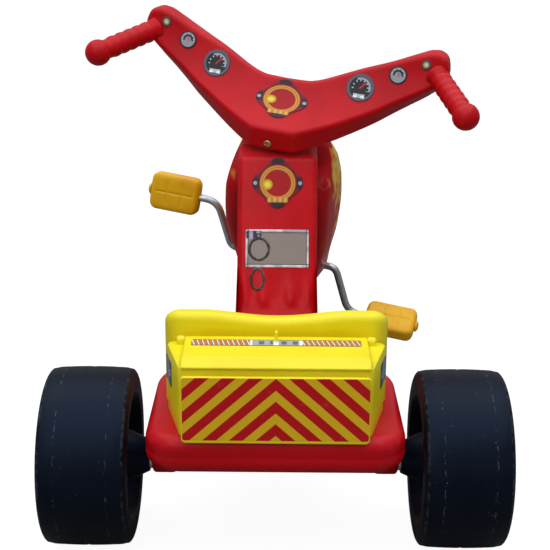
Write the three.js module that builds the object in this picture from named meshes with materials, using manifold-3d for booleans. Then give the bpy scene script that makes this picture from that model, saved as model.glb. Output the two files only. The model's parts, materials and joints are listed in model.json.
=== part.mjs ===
// A child's low pedal tricycle: a red blow-moulded frame with an upright neck, a yellow seat with a lidded
// box behind it, two wide hollow rear wheels, and a steered front wheel driven straight by bent cranks.
// Millimetres, +Z up, +Y forward, +X to the rider's right. The origin is on the floor, under the middle of
// the overall box. The tricycle is stored with its steering turned a little to the right.
import * as THREE from "three";
import { mergeVertices } from "three/addons/utils/BufferGeometryUtils.js";
import Module from "manifold-3d";

const wasm = await Module();
wasm.setup();

const DEG = Math.PI / 180;
const GAP = 0.3; // between pieces that touch
const PLAY = 0.5; // between a turning piece and what it turns on

// Rear wheels and their axle
const REAR_RADIUS = 107.5;
const REAR_WIDTH = 103.5;
const REAR_SHOULDER = 20;
const REAR_WALL = 4.5;
const AXLE_RADIUS = 5;
const HUB_RADIUS = 17;
const BOSS_RADIUS = 20;
const BOSS_LENGTH = 20;
const WASHER_THICKNESS = 3;

// Base of the frame
const BASE_HALF_WIDTH = 148;
const BASE_REAR = -118;
const BASE_FRONT = 212;
const BASE_BOTTOM = 140;
const BASE_TOP = 186;
const BEAM_HALF_WIDTH = 56;
const REAR_INNER = BASE_HALF_WIDTH + 22.5; // inner face of a rear wheel

// Seat and box
const SEAT_HALF_WIDTH = 130;
const BACKREST_REAR = -26;
const BACKREST_THICKNESS = 26;
const BACKREST_TOP = 300;
const SEAT_FRONT = 204;
const SEAT_THICKNESS = 14;
const BOLSTER_HEIGHT = 16;
const BOX_REAR_HALF_WIDTH = 106;
const BOX_REAR = -112.5;
const BOX_TOP = 268;
const BOX_WALL = 6;
const LID_HALF_WIDTH = 104.5;
const LID_THICKNESS = 9.4;
const LID_OVERHANG = 2.5;
const LID_HINGE_INSET = 10; // backrest to hinge pin axis
const LID_PIN_RADIUS = 2.4;
const TAB = { behind: 15, depth: 8, width: 3.6, height: 12 }; // behind the hinge pin axis
const PANEL_HALF_WIDTH = 104;
const PANEL_LAP = 3; // how far the panel reaches down over the base
const PANEL_THICKNESS = 4;

// Steering and front wheel
const FRONT_RADIUS = 186;
const FRONT_WIDTH = 46;
const FRONT_SHOULDER = 14;
const FRONT_WALL = 4.5;
const WHEELBASE = 572;
const RAKE = 26 * DEG; // steering axis leans back by this
const STEERED = 16 * DEG; // turned to the right as stored
const FORK_OFFSET = 35; // axle ahead of the steering axis
const WHEEL_CLEARANCE = 10;
const CROWN_HEIGHT = 26;
const HEAD_LENGTH = 38;
const HEAD_RADIUS = 36;
const FLANGE = 2; // bush flanges above and below the head
const STEM_RADIUS = 9;
const BUSH_WALL = 3;
const NECK_HALF_WIDTH = 58;
const NECK_FOOT = 300; // rear face of the neck at the beam
const HEAD_BACK = 50; // neck's rear edge behind the steering axis, at the top

// Fork legs
const LEG_INNER = 27;
const LEG_WIDEST = 84; // outer face from the wheel's middle plane
const LEG_FOOT = 66;
const LEG_BELOW_AXLE = 26;

// Cranks and pedals
const CRANK_RADIUS = 6;
const CRANK_THROW = 76;
const CRANK_ARM_IN = 90; // where the arm starts, from the middle plane
const CRANK_ARM_OUT = 120;
const CRANK_BEND = 18;
const CRANK_ANGLE = 72 * DEG; // left arm above the forward direction
const PEDAL_LENGTH = 84;
const PEDAL_DEPTH = 62;
const PEDAL_THICKNESS = 26;
const PEDAL_INNER = 150;
const PEDAL_TILT = [58 * DEG, -2 * DEG]; // left, right: face turned towards the rider

// Handlebar: a V-shaped plate that curls upwards from the hub to the tips
const BAR_TILT = 47 * DEG; // its face above the horizontal, on the steering axis
const BAR_CURL = 0.38 * DEG; // added tilt for each millimetre further up the face
const BAR_THICKNESS = 46;
const BAR_TIP_THICKNESS = 34;
const BAR_FLARE = 9; // the underside's lower edge stands out by this at the hub
const BAR_TIP_FLARE = 3;
const BAR_EDGE = 7;
const HUB_BACK = 36; // the hub's lower edge from the steering axis, down the face
const GRIP_RADIUS = 15.5;
const GRIP_LENGTH = 106;
const GRIP_BALL = 19.5;
const GRIP_ROOT = { up: 92, out: -8 };

// ---------------------------------------------------------------- solids

/** A closed three.js geometry as a manifold solid. */
function solid(geometry) {
  const bare = geometry.clone();
  bare.deleteAttribute("normal");
  bare.deleteAttribute("uv");
  const merged = mergeVertices(bare, 1e-4);
  return new wasm.Manifold(
    new wasm.Mesh({
      numProp: 3,
      vertProperties: new Float32Array(merged.attributes.position.array),
      triVerts: new Uint32Array(merged.index.array),
    }),
  );
}

/** A manifold solid as a three.js geometry. */
function geometryOf(made) {
  const { vertProperties, triVerts } = made.getMesh();
  const geometry = new THREE.BufferGeometry();
  geometry.setAttribute("position", new THREE.BufferAttribute(vertProperties, 3));
  geometry.setIndex(new THREE.BufferAttribute(triVerts, 1));
  geometry.computeVertexNormals();
  return geometry;
}

/** The first geometry joined with the others. */
function join(first, ...others) {
  return geometryOf(others.reduce((sum, other) => sum.add(solid(other)), solid(first)));
}

/** The first geometry with the others cut out of it. */
function cut(first, ...tools) {
  return geometryOf(tools.reduce((rest, tool) => rest.subtract(solid(tool)), solid(first)));
}

/** Corners [x, y, radius] as a closed outline with each corner rounded by the same number of steps. */
function roundedOutline(corners, steps = 4) {
  const outline = [];
  corners.forEach(([x, y, radius], i) => {
    const corner = new THREE.Vector2(x, y);
    const [before, after] = [corners.at(i - 1), corners[(i + 1) % corners.length]].map(
      ([ox, oy]) => new THREE.Vector2(ox, oy).sub(corner),
    );
    const half = Math.abs(before.angleTo(after)) / 2;
    const reach = Math.min(radius / Math.tan(half), before.length() / 2.02, after.length() / 2.02);
    const start = before.setLength(reach).add(corner);
    const end = after.setLength(reach).add(corner);
    outline.push(...new THREE.QuadraticBezierCurve(start, corner, end).getPoints(steps));
  });
  return outline;
}

/** Rings of equal length, each an array of Vector3 round a convex-ended section, skinned and capped. */
function loft(rings) {
  const count = rings[0].length;
  const index = [];
  for (let r = 0; r + 1 < rings.length; r++)
    for (let i = 0; i < count; i++) {
      const [a, b] = [r * count + i, r * count + ((i + 1) % count)];
      index.push(a, b, b + count, a, b + count, a + count);
    }
  const last = (rings.length - 1) * count;
  for (const [a, b, c] of capTriangles(rings[0])) index.push(c, b, a);
  for (const [a, b, c] of capTriangles(rings.at(-1))) index.push(last + a, last + b, last + c);
  const geometry = new THREE.BufferGeometry().setFromPoints(rings.flat());
  geometry.setIndex(index);
  return geometry;
}

/** Triangles that close a ring, worked out in the ring's own plane. */
function capTriangles(ring) {
  const normal = new THREE.Vector3();
  ring.forEach((p, i) => normal.add(p.clone().cross(ring[(i + 1) % ring.length])));
  const turn = new THREE.Quaternion().setFromUnitVectors(normal.normalize(), new THREE.Vector3(0, 0, 1));
  const flat = ring.map((p) => p.clone().applyQuaternion(turn)).map(({ x, y }) => new THREE.Vector2(x, y));
  return THREE.ShapeUtils.triangulateShape(flat, []);
}

/** An outline in the XY plane swept up Z from bottom to top, its edges rounded by bevel. */
function slab(outline, bottom, top, bevel = 0, bevelSegments = 2) {
  const geometry = new THREE.ExtrudeGeometry(new THREE.Shape(outline), {
    depth: top - bottom - 2 * bevel,
    bevelEnabled: bevel > 0,
    bevelThickness: bevel,
    bevelSize: bevel,
    bevelOffset: -bevel,
    bevelSegments,
  });
  return geometry.translate(0, 0, bottom + bevel);
}

/** A side view outline in (Y, Z) swept across X from left to right, its edges rounded by bevel. */
function crossSlab(outline, left, right, bevel = 0) {
  const turn = new THREE.Matrix4().set(0, 0, 1, 0, 1, 0, 0, 0, 0, 1, 0, 0, 0, 0, 0, 1);
  return slab(outline, left, right, bevel).applyMatrix4(turn);
}

/** A box between two corners. */
function block([x0, y0, z0], [x1, y1, z1]) {
  return new THREE.BoxGeometry(x1 - x0, y1 - y0, z1 - z0).translate(
    (x0 + x1) / 2,
    (y0 + y1) / 2,
    (z0 + z1) / 2,
  );
}

/** A profile [x, radius] turned about the X axis; it closes on itself or starts and ends on the axis. */
function turned(profile, segments = 24) {
  const points = profile.map(([x, radius]) => new THREE.Vector2(radius, x));
  return new THREE.LatheGeometry(points, segments).rotateZ(-Math.PI / 2);
}

/** A cylinder along X between two stations. */
function shaft(radius, from, to, segments = 24) {
  return turned([[from, 0], [from, radius], [to, radius], [to, 0]], segments);
}

/** A tube wall along X, or a plain washer. */
function sleeve(inner, outer, from, to, segments = 24) {
  const ring = [[from, inner], [from, outer], [to, outer], [to, inner], [from, inner]];
  return turned(ring, segments);
}

/** A mesh with its own material. */
function piece(name, geometry, finish) {
  const mesh = new THREE.Mesh(geometry, new THREE.MeshStandardMaterial(finish));
  mesh.name = name;
  return mesh;
}

/** The mirror image of a geometry across X = 0. */
function mirrored(geometry) {
  const turnedOver = geometry.clone().scale(-1, 1, 1).toNonIndexed();
  const position = turnedOver.getAttribute("position");
  for (let i = 0; i < position.count; i += 3) {
    const [a, b] = [i + 1, i + 2].map((k) => new THREE.Vector3().fromBufferAttribute(position, k));
    position.setXYZ(i + 1, b.x, b.y, b.z);
    position.setXYZ(i + 2, a.x, a.y, a.z);
  }
  turnedOver.deleteAttribute("normal");
  turnedOver.deleteAttribute("uv");
  return mergeVertices(turnedOver, 1e-4);
}

const SIDES = [
  ["left", -1],
  ["right", 1],
];
const sided = (geometry, side) => (side < 0 ? mirrored(geometry) : geometry.clone());

// ---------------------------------------------------------------- finishes

const RED = { color: 0xc4141f, roughness: 0.38, metalness: 0 };
const YELLOW = { color: 0xf2dc1f, roughness: 0.35, metalness: 0 };
const BLACK = { color: 0x17181b, roughness: 0.45, metalness: 0 };
const AMBER = { color: 0xe39a0e, roughness: 0.4, metalness: 0 };
const NYLON = { color: 0xdcd8cc, roughness: 0.5, metalness: 0 };
const STEEL = { color: 0xb4b6b8, roughness: 0.35, metalness: 0.9 };
const BRASS = { color: 0xb99a4a, roughness: 0.35, metalness: 0.9 };

// ---------------------------------------------------------------- steering frame

// The steering frame has its Z along the steering axis and its Y ahead of it. Its origin is on the axis,
// level with the front wheel's axle. Heights along the axis stack up from the wheel.
const CROWN_BOTTOM = FRONT_RADIUS + WHEEL_CLEARANCE;
const CROWN_TOP = CROWN_BOTTOM + CROWN_HEIGHT;
const CROWN_REAR = 26;
const CROWN_SWEEP = Math.hypot(CROWN_REAR, LEG_INNER) + 3;
const HEAD_BOTTOM = CROWN_TOP + FLANGE + 2 * GAP;
const HEAD_TOP = HEAD_BOTTOM + HEAD_LENGTH;
const HUB_BOTTOM = HEAD_TOP + FLANGE + 2 * GAP;

/** Ahead of and along the steering axis, from the face's centre, of a point up the curled face. */
function onFace(up, out) {
  const [start, here] = [BAR_TILT - RAKE, BAR_TILT - RAKE + BAR_CURL * up];
  return [
    (Math.sin(here) - Math.sin(start)) / BAR_CURL - out * Math.sin(here),
    (Math.cos(start) - Math.cos(here)) / BAR_CURL + out * Math.cos(here),
  ];
}
const FACE_HEIGHT = HUB_BOTTOM - onFace(-HUB_BACK - BAR_FLARE, -BAR_THICKNESS)[1];

// A wheel that leans when it is steered stands on its shoulder.
const LEAN = Math.asin(Math.sin(STEERED) * Math.sin(RAKE));
const FRONT_AXLE_HEIGHT =
  (FRONT_RADIUS - FRONT_SHOULDER) * Math.cos(LEAN) +
  (FRONT_WIDTH / 2 - FRONT_SHOULDER) * Math.sin(LEAN) +
  FRONT_SHOULDER;
const STEER_ORIGIN = new THREE.Vector3(
  0,
  WHEELBASE - FORK_OFFSET * Math.cos(RAKE),
  FRONT_AXLE_HEIGHT - FORK_OFFSET * Math.cos(STEERED) * Math.sin(RAKE),
);

/** Side view (Y, Z) of a point given ahead of and along the steering axis. */
function atSteering(ahead, along) {
  return [
    STEER_ORIGIN.y + ahead * Math.cos(RAKE) - along * Math.sin(RAKE),
    STEER_ORIGIN.z + ahead * Math.sin(RAKE) + along * Math.cos(RAKE),
  ];
}

/** A geometry made along X, stood up on the steering axis with X becoming the way up. */
const upright = (geometry) => geometry.rotateY(-Math.PI / 2);

/** A geometry given in the steering frame, straight ahead, placed in the tricycle's frame. */
const inFrame = (geometry) =>
  geometry.rotateX(RAKE).translate(STEER_ORIGIN.x, STEER_ORIGIN.y, STEER_ORIGIN.z);

// ---------------------------------------------------------------- frame

/** The base: a rounded tray that is widest at mid height, narrowing forwards to the beam. */
function baseTray() {
  const levels = [
    [BASE_BOTTOM, 13],
    [BASE_BOTTOM + 6, 4],
    [BASE_BOTTOM + 16, 0],
    [BASE_TOP - 20, 0],
    [BASE_TOP - 7, 4],
    [BASE_TOP, 13],
  ];
  return loft(
    levels.map(([z, inset]) => {
      const [wide, rear] = [BASE_HALF_WIDTH - inset, BASE_REAR + inset];
      const [narrow, front] = [BEAM_HALF_WIDTH + 24 - inset, BASE_FRONT - inset];
      const corners = [
        [-wide, rear, 40],
        [wide, rear, 40],
        [wide, 70, 60],
        [narrow, front, 30],
        [-narrow, front, 30],
        [-wide, 70, 60],
      ];
      return roundedOutline(corners, 4).map(({ x, y }) => new THREE.Vector3(x, y, z));
    }),
  );
}

/** The beam and the neck in side view, up to the steering head. */
function neckOutline() {
  const [beamTop, beamBottom] = [BASE_TOP - 16, BASE_BOTTOM - 21];
  const neckFront = WHEELBASE - FRONT_RADIUS - 20;
  return roundedOutline(
    [
      [BASE_FRONT - 60, beamBottom + 12, 10],
      [neckFront - 40, beamBottom - 6, 30],
      [neckFront, beamBottom + 40, 50],
      [neckFront + 18, 255, 60],
      [...atSteering(-CROWN_SWEEP, HEAD_BOTTOM), 14],
      [...atSteering(0, HEAD_BOTTOM), 10],
      [...atSteering(0, HEAD_TOP), 10],
      [...atSteering(-HEAD_BACK, HEAD_TOP), 14],
      [NECK_FOOT, BASE_TOP + 20, 40],
      [NECK_FOOT - 24, beamTop, 36],
      [BASE_FRONT - 60, beamTop, 10],
    ],
    4,
  );
}

/** One axle boss below the base, with the web that carries it. */
function axleBoss(side) {
  const outer = REAR_INNER - 22;
  const [left, right] = side > 0 ? [outer - BOSS_LENGTH, outer] : [-outer, BOSS_LENGTH - outer];
  const round = shaft(BOSS_RADIUS, left, right).translate(0, 0, REAR_RADIUS);
  const web = block([left, -BOSS_RADIUS, REAR_RADIUS], [right, BOSS_RADIUS, BASE_BOTTOM + 20]);
  return join(round, web);
}

/** The whole frame: tray, beam, neck, head and bosses, bored for the axle, the bushes and the bolts. */
function chassis() {
  const nose = inFrame(upright(shaft(HEAD_RADIUS, HEAD_BOTTOM, HEAD_TOP, 32)));
  const body = join(
    baseTray(),
    crossSlab(neckOutline(), -NECK_HALF_WIDTH, NECK_HALF_WIDTH, 7),
    nose,
    ...SIDES.map(([, side]) => axleBoss(side)),
  );
  const axleBore = shaft(AXLE_RADIUS + GAP, -REAR_INNER, REAR_INNER).translate(0, 0, REAR_RADIUS);
  const bushSeat = STEM_RADIUS + PLAY + BUSH_WALL + GAP;
  const headBore = inFrame(upright(shaft(bushSeat, HEAD_BOTTOM - 40, HEAD_TOP + 40)));
  const boltBores = SIDES.map(([, side]) => seatBolt(side, GAP));
  return cut(body, axleBore, headBore, ...boltBores);
}

// ---------------------------------------------------------------- seat and box

const BOLT = { radius: 4, head: 10, headHeight: 7, x: 90, y: 80, grip: 8 };

/** A bolt with a round head from under the base up into the seat; spare widens and lengthens it. */
function seatBolt(side, spare = 0) {
  const [bottom, top] = [BASE_BOTTOM + 18, BASE_TOP + GAP + BOLT.grip];
  const under = spare ? BASE_BOTTOM - 5 : bottom - BOLT.headHeight;
  const profile = [
    [under, 0],
    [under, BOLT.head + spare],
    [bottom + spare, BOLT.head + spare],
    [bottom + spare, BOLT.radius + spare],
    [top + spare, BOLT.radius + spare],
    [top + spare, 0],
  ];
  return upright(turned(profile, 16)).translate(side * BOLT.x, BOLT.y, 0);
}

/** The seat: a dished pan with bolsters, and a backrest whose top edge dips in the middle. */
function seat() {
  const bottom = BASE_TOP + GAP;
  const [pan, edge] = [bottom + SEAT_THICKNESS, bottom + SEAT_THICKNESS + BOLSTER_HEIGHT];
  const wide = SEAT_HALF_WIDTH - 8;
  const section = [
    [-wide, bottom, 6],
    [wide, bottom, 6],
    [wide, edge, 10],
    [wide - 30, edge, 14],
    [wide - 52, pan, 20],
    [52 - wide, pan, 20],
    [30 - wide, edge, 14],
    [-wide, edge, 10],
  ];
  const panBody = slab(roundedOutline(section, 3), -SEAT_FRONT, -BACKREST_REAR - 4).rotateX(Math.PI / 2);
  const nose = SEAT_HALF_WIDTH + 30;
  const plan = [
    [-SEAT_HALF_WIDTH, BACKREST_REAR, 2],
    [SEAT_HALF_WIDTH, BACKREST_REAR, 2],
    [SEAT_HALF_WIDTH, 60, 70],
    [nose / 2, SEAT_FRONT, 40],
    [-nose / 2, SEAT_FRONT, 40],
    [-SEAT_HALF_WIDTH, 60, 70],
  ];
  const trimmed = solid(panBody).intersect(solid(slab(roundedOutline(plan, 5), bottom, edge + 1)));
  const back = [
    [-SEAT_HALF_WIDTH + 4, bottom, 9],
    [SEAT_HALF_WIDTH - 4, bottom, 9],
    [SEAT_HALF_WIDTH, BACKREST_TOP, 18],
    [60, BACKREST_TOP, 40],
    [0, BACKREST_TOP - 7, 60],
    [-60, BACKREST_TOP, 40],
    [-SEAT_HALF_WIDTH, BACKREST_TOP, 18],
  ];
  const backrest = slab(roundedOutline(back, 4), -BACKREST_REAR - BACKREST_THICKNESS, -BACKREST_REAR, 5);
  const body = trimmed.add(solid(backrest.rotateX(Math.PI / 2)));
  const holes = SIDES.map(([, side]) => solid(seatBolt(side, GAP)));
  return geometryOf(holes.reduce((rest, hole) => rest.subtract(hole), body));
}

const HINGE = new THREE.Vector2(BACKREST_REAR - LID_HINGE_INSET, BOX_TOP + GAP + LID_THICKNESS / 2);
const CHEEK_INNER = LID_HALF_WIDTH + PLAY;
const CHEEK_WIDTH = 9;

/** The box behind the seat: open on top, tapering to the rear, with a cheek each side for the hinge. */
function storageBox() {
  const front = BACKREST_REAR - GAP;
  const wide = SEAT_HALF_WIDTH - 2;
  const outer = [
    [-BOX_REAR_HALF_WIDTH, BOX_REAR, 8],
    [BOX_REAR_HALF_WIDTH, BOX_REAR, 8],
    [wide, front, 2],
    [-wide, front, 2],
  ];
  const body = slab(roundedOutline(outer, 3), BASE_TOP + GAP, BOX_TOP);
  const inside = [
    [BOX_WALL - BOX_REAR_HALF_WIDTH - 2, BOX_REAR + BOX_WALL, 10],
    [BOX_REAR_HALF_WIDTH - BOX_WALL + 2, BOX_REAR + BOX_WALL, 10],
    [BOX_REAR_HALF_WIDTH - BOX_WALL + 2, HINGE.x - 8, 10],
    [BOX_WALL - BOX_REAR_HALF_WIDTH - 2, HINGE.x - 8, 10],
  ];
  const hollow = slab(roundedOutline(inside, 3), BASE_TOP + GAP + BOX_WALL, BOX_TOP + 1);
  const cheeks = SIDES.map(([, side]) => {
    const ends = [side * CHEEK_INNER, side * (CHEEK_INNER + CHEEK_WIDTH)].sort((a, b) => a - b);
    const cheek = block([ends[0], HINGE.x - 8, BOX_TOP - 4], [ends[1], HINGE.x + 8, HINGE.y + 4.5]);
    return cheek;
  });
  const reach = CHEEK_INNER + CHEEK_WIDTH + 1;
  const bore = shaft(LID_PIN_RADIUS + GAP, -reach, reach, 16).translate(0, HINGE.x, HINGE.y);
  return cut(join(body, ...cheeks), hollow, bore);
}

/** The lid: a flat shell whose front edge is round about the hinge pins. */
function boxLid() {
  const half = LID_THICKNESS / 2;
  const rear = BOX_REAR - LID_OVERHANG;
  const outline = new THREE.Shape();
  outline.moveTo(rear, HINGE.y - half);
  outline.lineTo(HINGE.x, HINGE.y - half);
  outline.absarc(HINGE.x, HINGE.y, half, -Math.PI / 2, Math.PI / 2, false);
  outline.lineTo(rear + 4, HINGE.y + half);
  outline.quadraticCurveTo(rear, HINGE.y + half, rear, HINGE.y + half - 4);
  const body = crossSlab(outline.getPoints(4), -LID_HALF_WIDTH, LID_HALF_WIDTH);
  const pins = SIDES.map(([, side]) => lidPin(side, PLAY));
  return cut(body, ...pins);
}

/** A hinge pin from the cheek into the lid's edge; spare widens and lengthens it. */
function lidPin(side, spare = 0) {
  const from = side * (LID_HALF_WIDTH - 12 - spare);
  const to = side * (CHEEK_INNER + CHEEK_WIDTH + spare);
  const pin = shaft(LID_PIN_RADIUS + spare / 2, Math.min(from, to), Math.max(from, to), 16);
  return pin.translate(0, HINGE.x, HINGE.y);
}

/** The small upright tab on the lid: a finger hold, and a stop that meets the backrest when it opens. */
function lidTab() {
  const foot = HINGE.y + LID_THICKNESS / 2 + GAP;
  const [middle, top] = [HINGE.x - TAB.behind, foot + TAB.height];
  const outline = [
    [middle - TAB.depth / 2, foot, 1],
    [middle + TAB.depth / 2, foot, 1],
    [middle + TAB.depth / 2 - 1, top, 3],
    [middle - TAB.depth / 2 + 1, top, 3],
  ];
  return crossSlab(roundedOutline(outline, 3), -TAB.width / 2, TAB.width / 2);
}

/** The panel across the tail: a flat plate behind the box that reaches down over the base. */
function tailPanel() {
  const [foot, top] = [BASE_TOP - PANEL_LAP, BOX_TOP - 6];
  const wall = BOX_TOP - BASE_TOP;
  const outline = [
    [-PANEL_HALF_WIDTH, foot, 3],
    [PANEL_HALF_WIDTH, foot, 3],
    [PANEL_HALF_WIDTH, top, 3],
    [-PANEL_HALF_WIDTH, top, 3],
  ];
  const rear = Math.min(BOX_REAR, BASE_REAR) - GAP;
  const plate = slab(roundedOutline(outline, 2), -rear, PANEL_THICKNESS - rear).rotateX(Math.PI / 2);
  const lugs = block(
    [-BOX_REAR_HALF_WIDTH + 12, rear - 1, BASE_TOP + 0.2 * wall],
    [BOX_REAR_HALF_WIDTH - 12, BOX_REAR - GAP, BOX_TOP - 0.2 * wall],
  );
  return join(plate, lugs);
}

// ---------------------------------------------------------------- wheels

/** A hollow wheel's section: outer skin, then the cavity's skin, which opens onto the bore. */
function hollowWheel({ radius, inner, outer, shoulder, wall, bore, hub, hubInner, hubOuter, dish }, segments) {
  const arc = (cx, cr, size, from, to) =>
    [0, 1, 2].map((k) => {
      const angle = from + ((to - from) * k) / 2;
      return [cx + size * Math.cos(angle), cr + size * Math.sin(angle)];
    });
  const skin = (inset) => {
    const size = shoulder - inset;
    const [left, right] = [inner + shoulder, outer - shoulder];
    return [
      ...arc(left, radius - shoulder, size, Math.PI, Math.PI / 2),
      ...arc(right, radius - shoulder, size, Math.PI / 2, 0),
    ];
  };
  const rim = radius - shoulder - 6;
  const outside = [
    [hubInner, bore],
    [hubInner, hub],
    [inner + dish, hub + 9],
    [inner + dish, rim - 10],
    [inner, rim],
    ...skin(0),
    [outer, rim],
    [outer - dish, rim - 10],
    [outer - dish, hub + 9],
    [hubOuter, hub],
    [hubOuter, bore],
  ];
  const cavity = [
    [outer - dish - wall - 8, bore],
    [outer - dish - wall, hub + 12],
    [outer - dish - wall, rim - 8],
    [outer - wall, rim],
    ...skin(wall).reverse(),
    [inner + wall, rim],
    [inner + dish + wall, rim - 8],
    [inner + dish + wall, hub + 12],
    [inner + dish + wall + 8, bore],
  ];
  return turned([...outside, ...cavity, outside[0]], segments);
}

/** The right rear wheel, in place on the axle. */
function rearWheel() {
  const outer = REAR_INNER + REAR_WIDTH;
  const section = {
    radius: REAR_RADIUS,
    inner: REAR_INNER,
    outer,
    shoulder: REAR_SHOULDER,
    wall: REAR_WALL,
    bore: AXLE_RADIUS + PLAY,
    hub: HUB_RADIUS,
    hubInner: REAR_INNER - 22 + WASHER_THICKNESS + 2 * GAP,
    hubOuter: outer - 16,
    dish: 24,
  };
  return hollowWheel(section, 28).translate(0, 0, REAR_RADIUS);
}

/** The front wheel, about the X axis at its own centre. */
function frontWheel() {
  const section = {
    radius: FRONT_RADIUS,
    inner: -FRONT_WIDTH / 2,
    outer: FRONT_WIDTH / 2,
    shoulder: FRONT_SHOULDER,
    wall: FRONT_WALL,
    bore: CRANK_RADIUS + GAP,
    hub: 22,
    hubInner: -FRONT_WIDTH / 2 - 1,
    hubOuter: FRONT_WIDTH / 2 + 1,
    dish: 9,
  };
  return hollowWheel(section, 36);
}

/** The push-on cap that keeps a rear wheel on its axle. */
function axleCap() {
  const seatAt = REAR_INNER + REAR_WIDTH - 16 + GAP;
  const bore = AXLE_RADIUS + GAP;
  const profile = [
    [seatAt, bore],
    [seatAt, 15],
    [seatAt + 5, 14],
    [seatAt + 9, 9],
    [seatAt + 10, 0],
    [seatAt + 7, 0],
    [seatAt + 7, bore],
    [seatAt, bore],
  ];
  return turned(profile, 20).translate(0, 0, REAR_RADIUS);
}

/** The washer between an axle boss and the wheel's hub. */
function axleWasher() {
  const from = REAR_INNER - 22 + GAP;
  const washer = sleeve(AXLE_RADIUS + PLAY, BOSS_RADIUS - 4, from, from + WASHER_THICKNESS, 20);
  return washer.translate(0, 0, REAR_RADIUS);
}

// ---------------------------------------------------------------- steering

/** A flanged bush in the head; the lower one is the upper one turned over. */
function headBush(upper) {
  const [inner, outer] = [STEM_RADIUS + PLAY, STEM_RADIUS + PLAY + BUSH_WALL];
  const end = upper ? HEAD_TOP : HEAD_BOTTOM;
  const out = upper ? 1 : -1;
  const profile = [
    [end - out * 11, inner],
    [end - out * 11, outer],
    [end + out * GAP, outer],
    [end + out * GAP, outer + 8],
    [end + out * (GAP + FLANGE), outer + 8],
    [end + out * (GAP + FLANGE), inner],
    [end - out * 11, inner],
  ];
  return upright(turned(upper ? profile : profile.reverse(), 24));
}

const STEM_FOOT = CROWN_BOTTOM + 6;
const STEM_TOP = FACE_HEIGHT - 14;
const SCREW = { radius: 2.4, head: 6, depth: 24, aside: -5 };

/** The steel stem from the crown up into the handlebar's hub, with the screw's cross hole. */
function steeringStem() {
  const rod = upright(shaft(STEM_RADIUS, STEM_FOOT, STEM_TOP, 24));
  return cut(rod, barScrew(GAP));
}

/** The screw through the hub's rim into the stem, in the steering frame; spare widens it. */
function barScrew(spare = 0) {
  const [rim] = onFace(-HUB_BACK - (BAR_FLARE * SCREW.depth) / BAR_THICKNESS, -SCREW.depth);
  const height = FACE_HEIGHT + onFace(-HUB_BACK, -SCREW.depth)[1];
  const tip = 3;
  const profile = spare
    ? [[rim - 20, 0], [rim - 20, SCREW.radius + spare], [tip + 3, SCREW.radius + spare], [tip + 3, 0]]
    : [
        [rim - 3.5, 0],
        [rim - 2.5, SCREW.head - 2],
        [rim - 1, SCREW.head],
        [rim - 1, SCREW.radius],
        [tip, SCREW.radius],
        [tip, 0],
      ];
  return turned(profile, 16).rotateZ(Math.PI / 2).translate(SCREW.aside, 0, height);
}

/** The crown above the wheel: it holds the stem and stands between the tops of the legs. */
function forkCrown() {
  const wide = LEG_INNER - GAP;
  const outline = [
    [-wide, -CROWN_REAR, 18],
    [wide, -CROWN_REAR, 18],
    [wide, 62, 4],
    [-wide, 62, 4],
  ];
  const body = slab(roundedOutline(outline, 3), CROWN_BOTTOM, CROWN_TOP, 2, 1);
  const stemBore = upright(shaft(STEM_RADIUS + GAP, STEM_FOOT - GAP, CROWN_TOP + 5, 24));
  return cut(body, stemBore, ...SIDES.map(([, side]) => forkBolt(side, GAP)));
}

/** One leg: sections stacked up the steering axis, fullest beside the wheel's top half, level at the foot. */
function forkLeg() {
  const ahead = FORK_OFFSET;
  const stations = [
    [-LEG_BELOW_AXLE, LEG_FOOT - 4, ahead - 42, ahead + 40, 1],
    [8 - LEG_BELOW_AXLE, LEG_FOOT, ahead - 46, ahead + 46, 1],
    [20, LEG_FOOT + 6, ahead - 52, ahead + 56, 0.6],
    [70, LEG_WIDEST - 3, ahead - 57, ahead + 66, 0.2],
    [120, LEG_WIDEST, ahead - 60, ahead + 68, 0],
    [165, LEG_WIDEST - 1, ahead - 58, ahead + 64, 0],
    [CROWN_BOTTOM + 2, LEG_WIDEST - 6, ahead - 40, ahead + 58, 0],
    [CROWN_TOP - 4, LEG_WIDEST - 13, 32, ahead + 50, 0],
    [CROWN_TOP + 16, LEG_WIDEST - 26, 42, ahead + 42, 0],
  ];
  return loft(
    stations.map(([along, outer, rear, front, level]) => {
      const corners = [
        [LEG_INNER, rear, 8],
        [outer, rear, 16],
        [outer, front, 24],
        [LEG_INNER, front, 8],
      ];
      const drop = level * Math.tan(RAKE);
      return roundedOutline(corners, 3).map(({ x, y }) => new THREE.Vector3(x, y, along - drop * (y - ahead)));
    }),
  );
}

/** A bolt through the top of a leg into the crown; spare widens it. */
function forkBolt(side, spare = 0) {
  const [tip, head] = [LEG_INNER - 14 - spare, LEG_WIDEST - 18];
  const out = spare ? LEG_WIDEST + 20 : head + 5;
  const profile = [
    [tip, 0],
    [tip, 3 + spare],
    [head, 3 + spare],
    [head, 8 + spare],
    [out, 8 + spare],
    [out, 0],
  ];
  const bolt = turned(profile, 16);
  return sided(bolt, side).translate(0, 47, (CROWN_BOTTOM + CROWN_TOP) / 2);
}

/** A bush in a leg's foot that carries the crank. */
function crankBush(spare = 0) {
  const [inner, outer] = [CRANK_RADIUS + PLAY, CRANK_RADIUS + PLAY + 3];
  const [from, to] = [LEG_INNER, LEG_FOOT + 4];
  if (spare) return shaft(outer + spare, from - 20, to + 20, 20);
  return sleeve(inner, outer, from, to, 20);
}

/** The right or left leg, bored for the crank bush and the crown's bolt. */
function finishedLeg(side) {
  const axleBore = crankBush(GAP).translate(0, FORK_OFFSET, 0);
  return cut(sided(forkLeg(), side), sided(axleBore, side), forkBolt(side, GAP));
}

// ---------------------------------------------------------------- cranks and pedals

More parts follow.
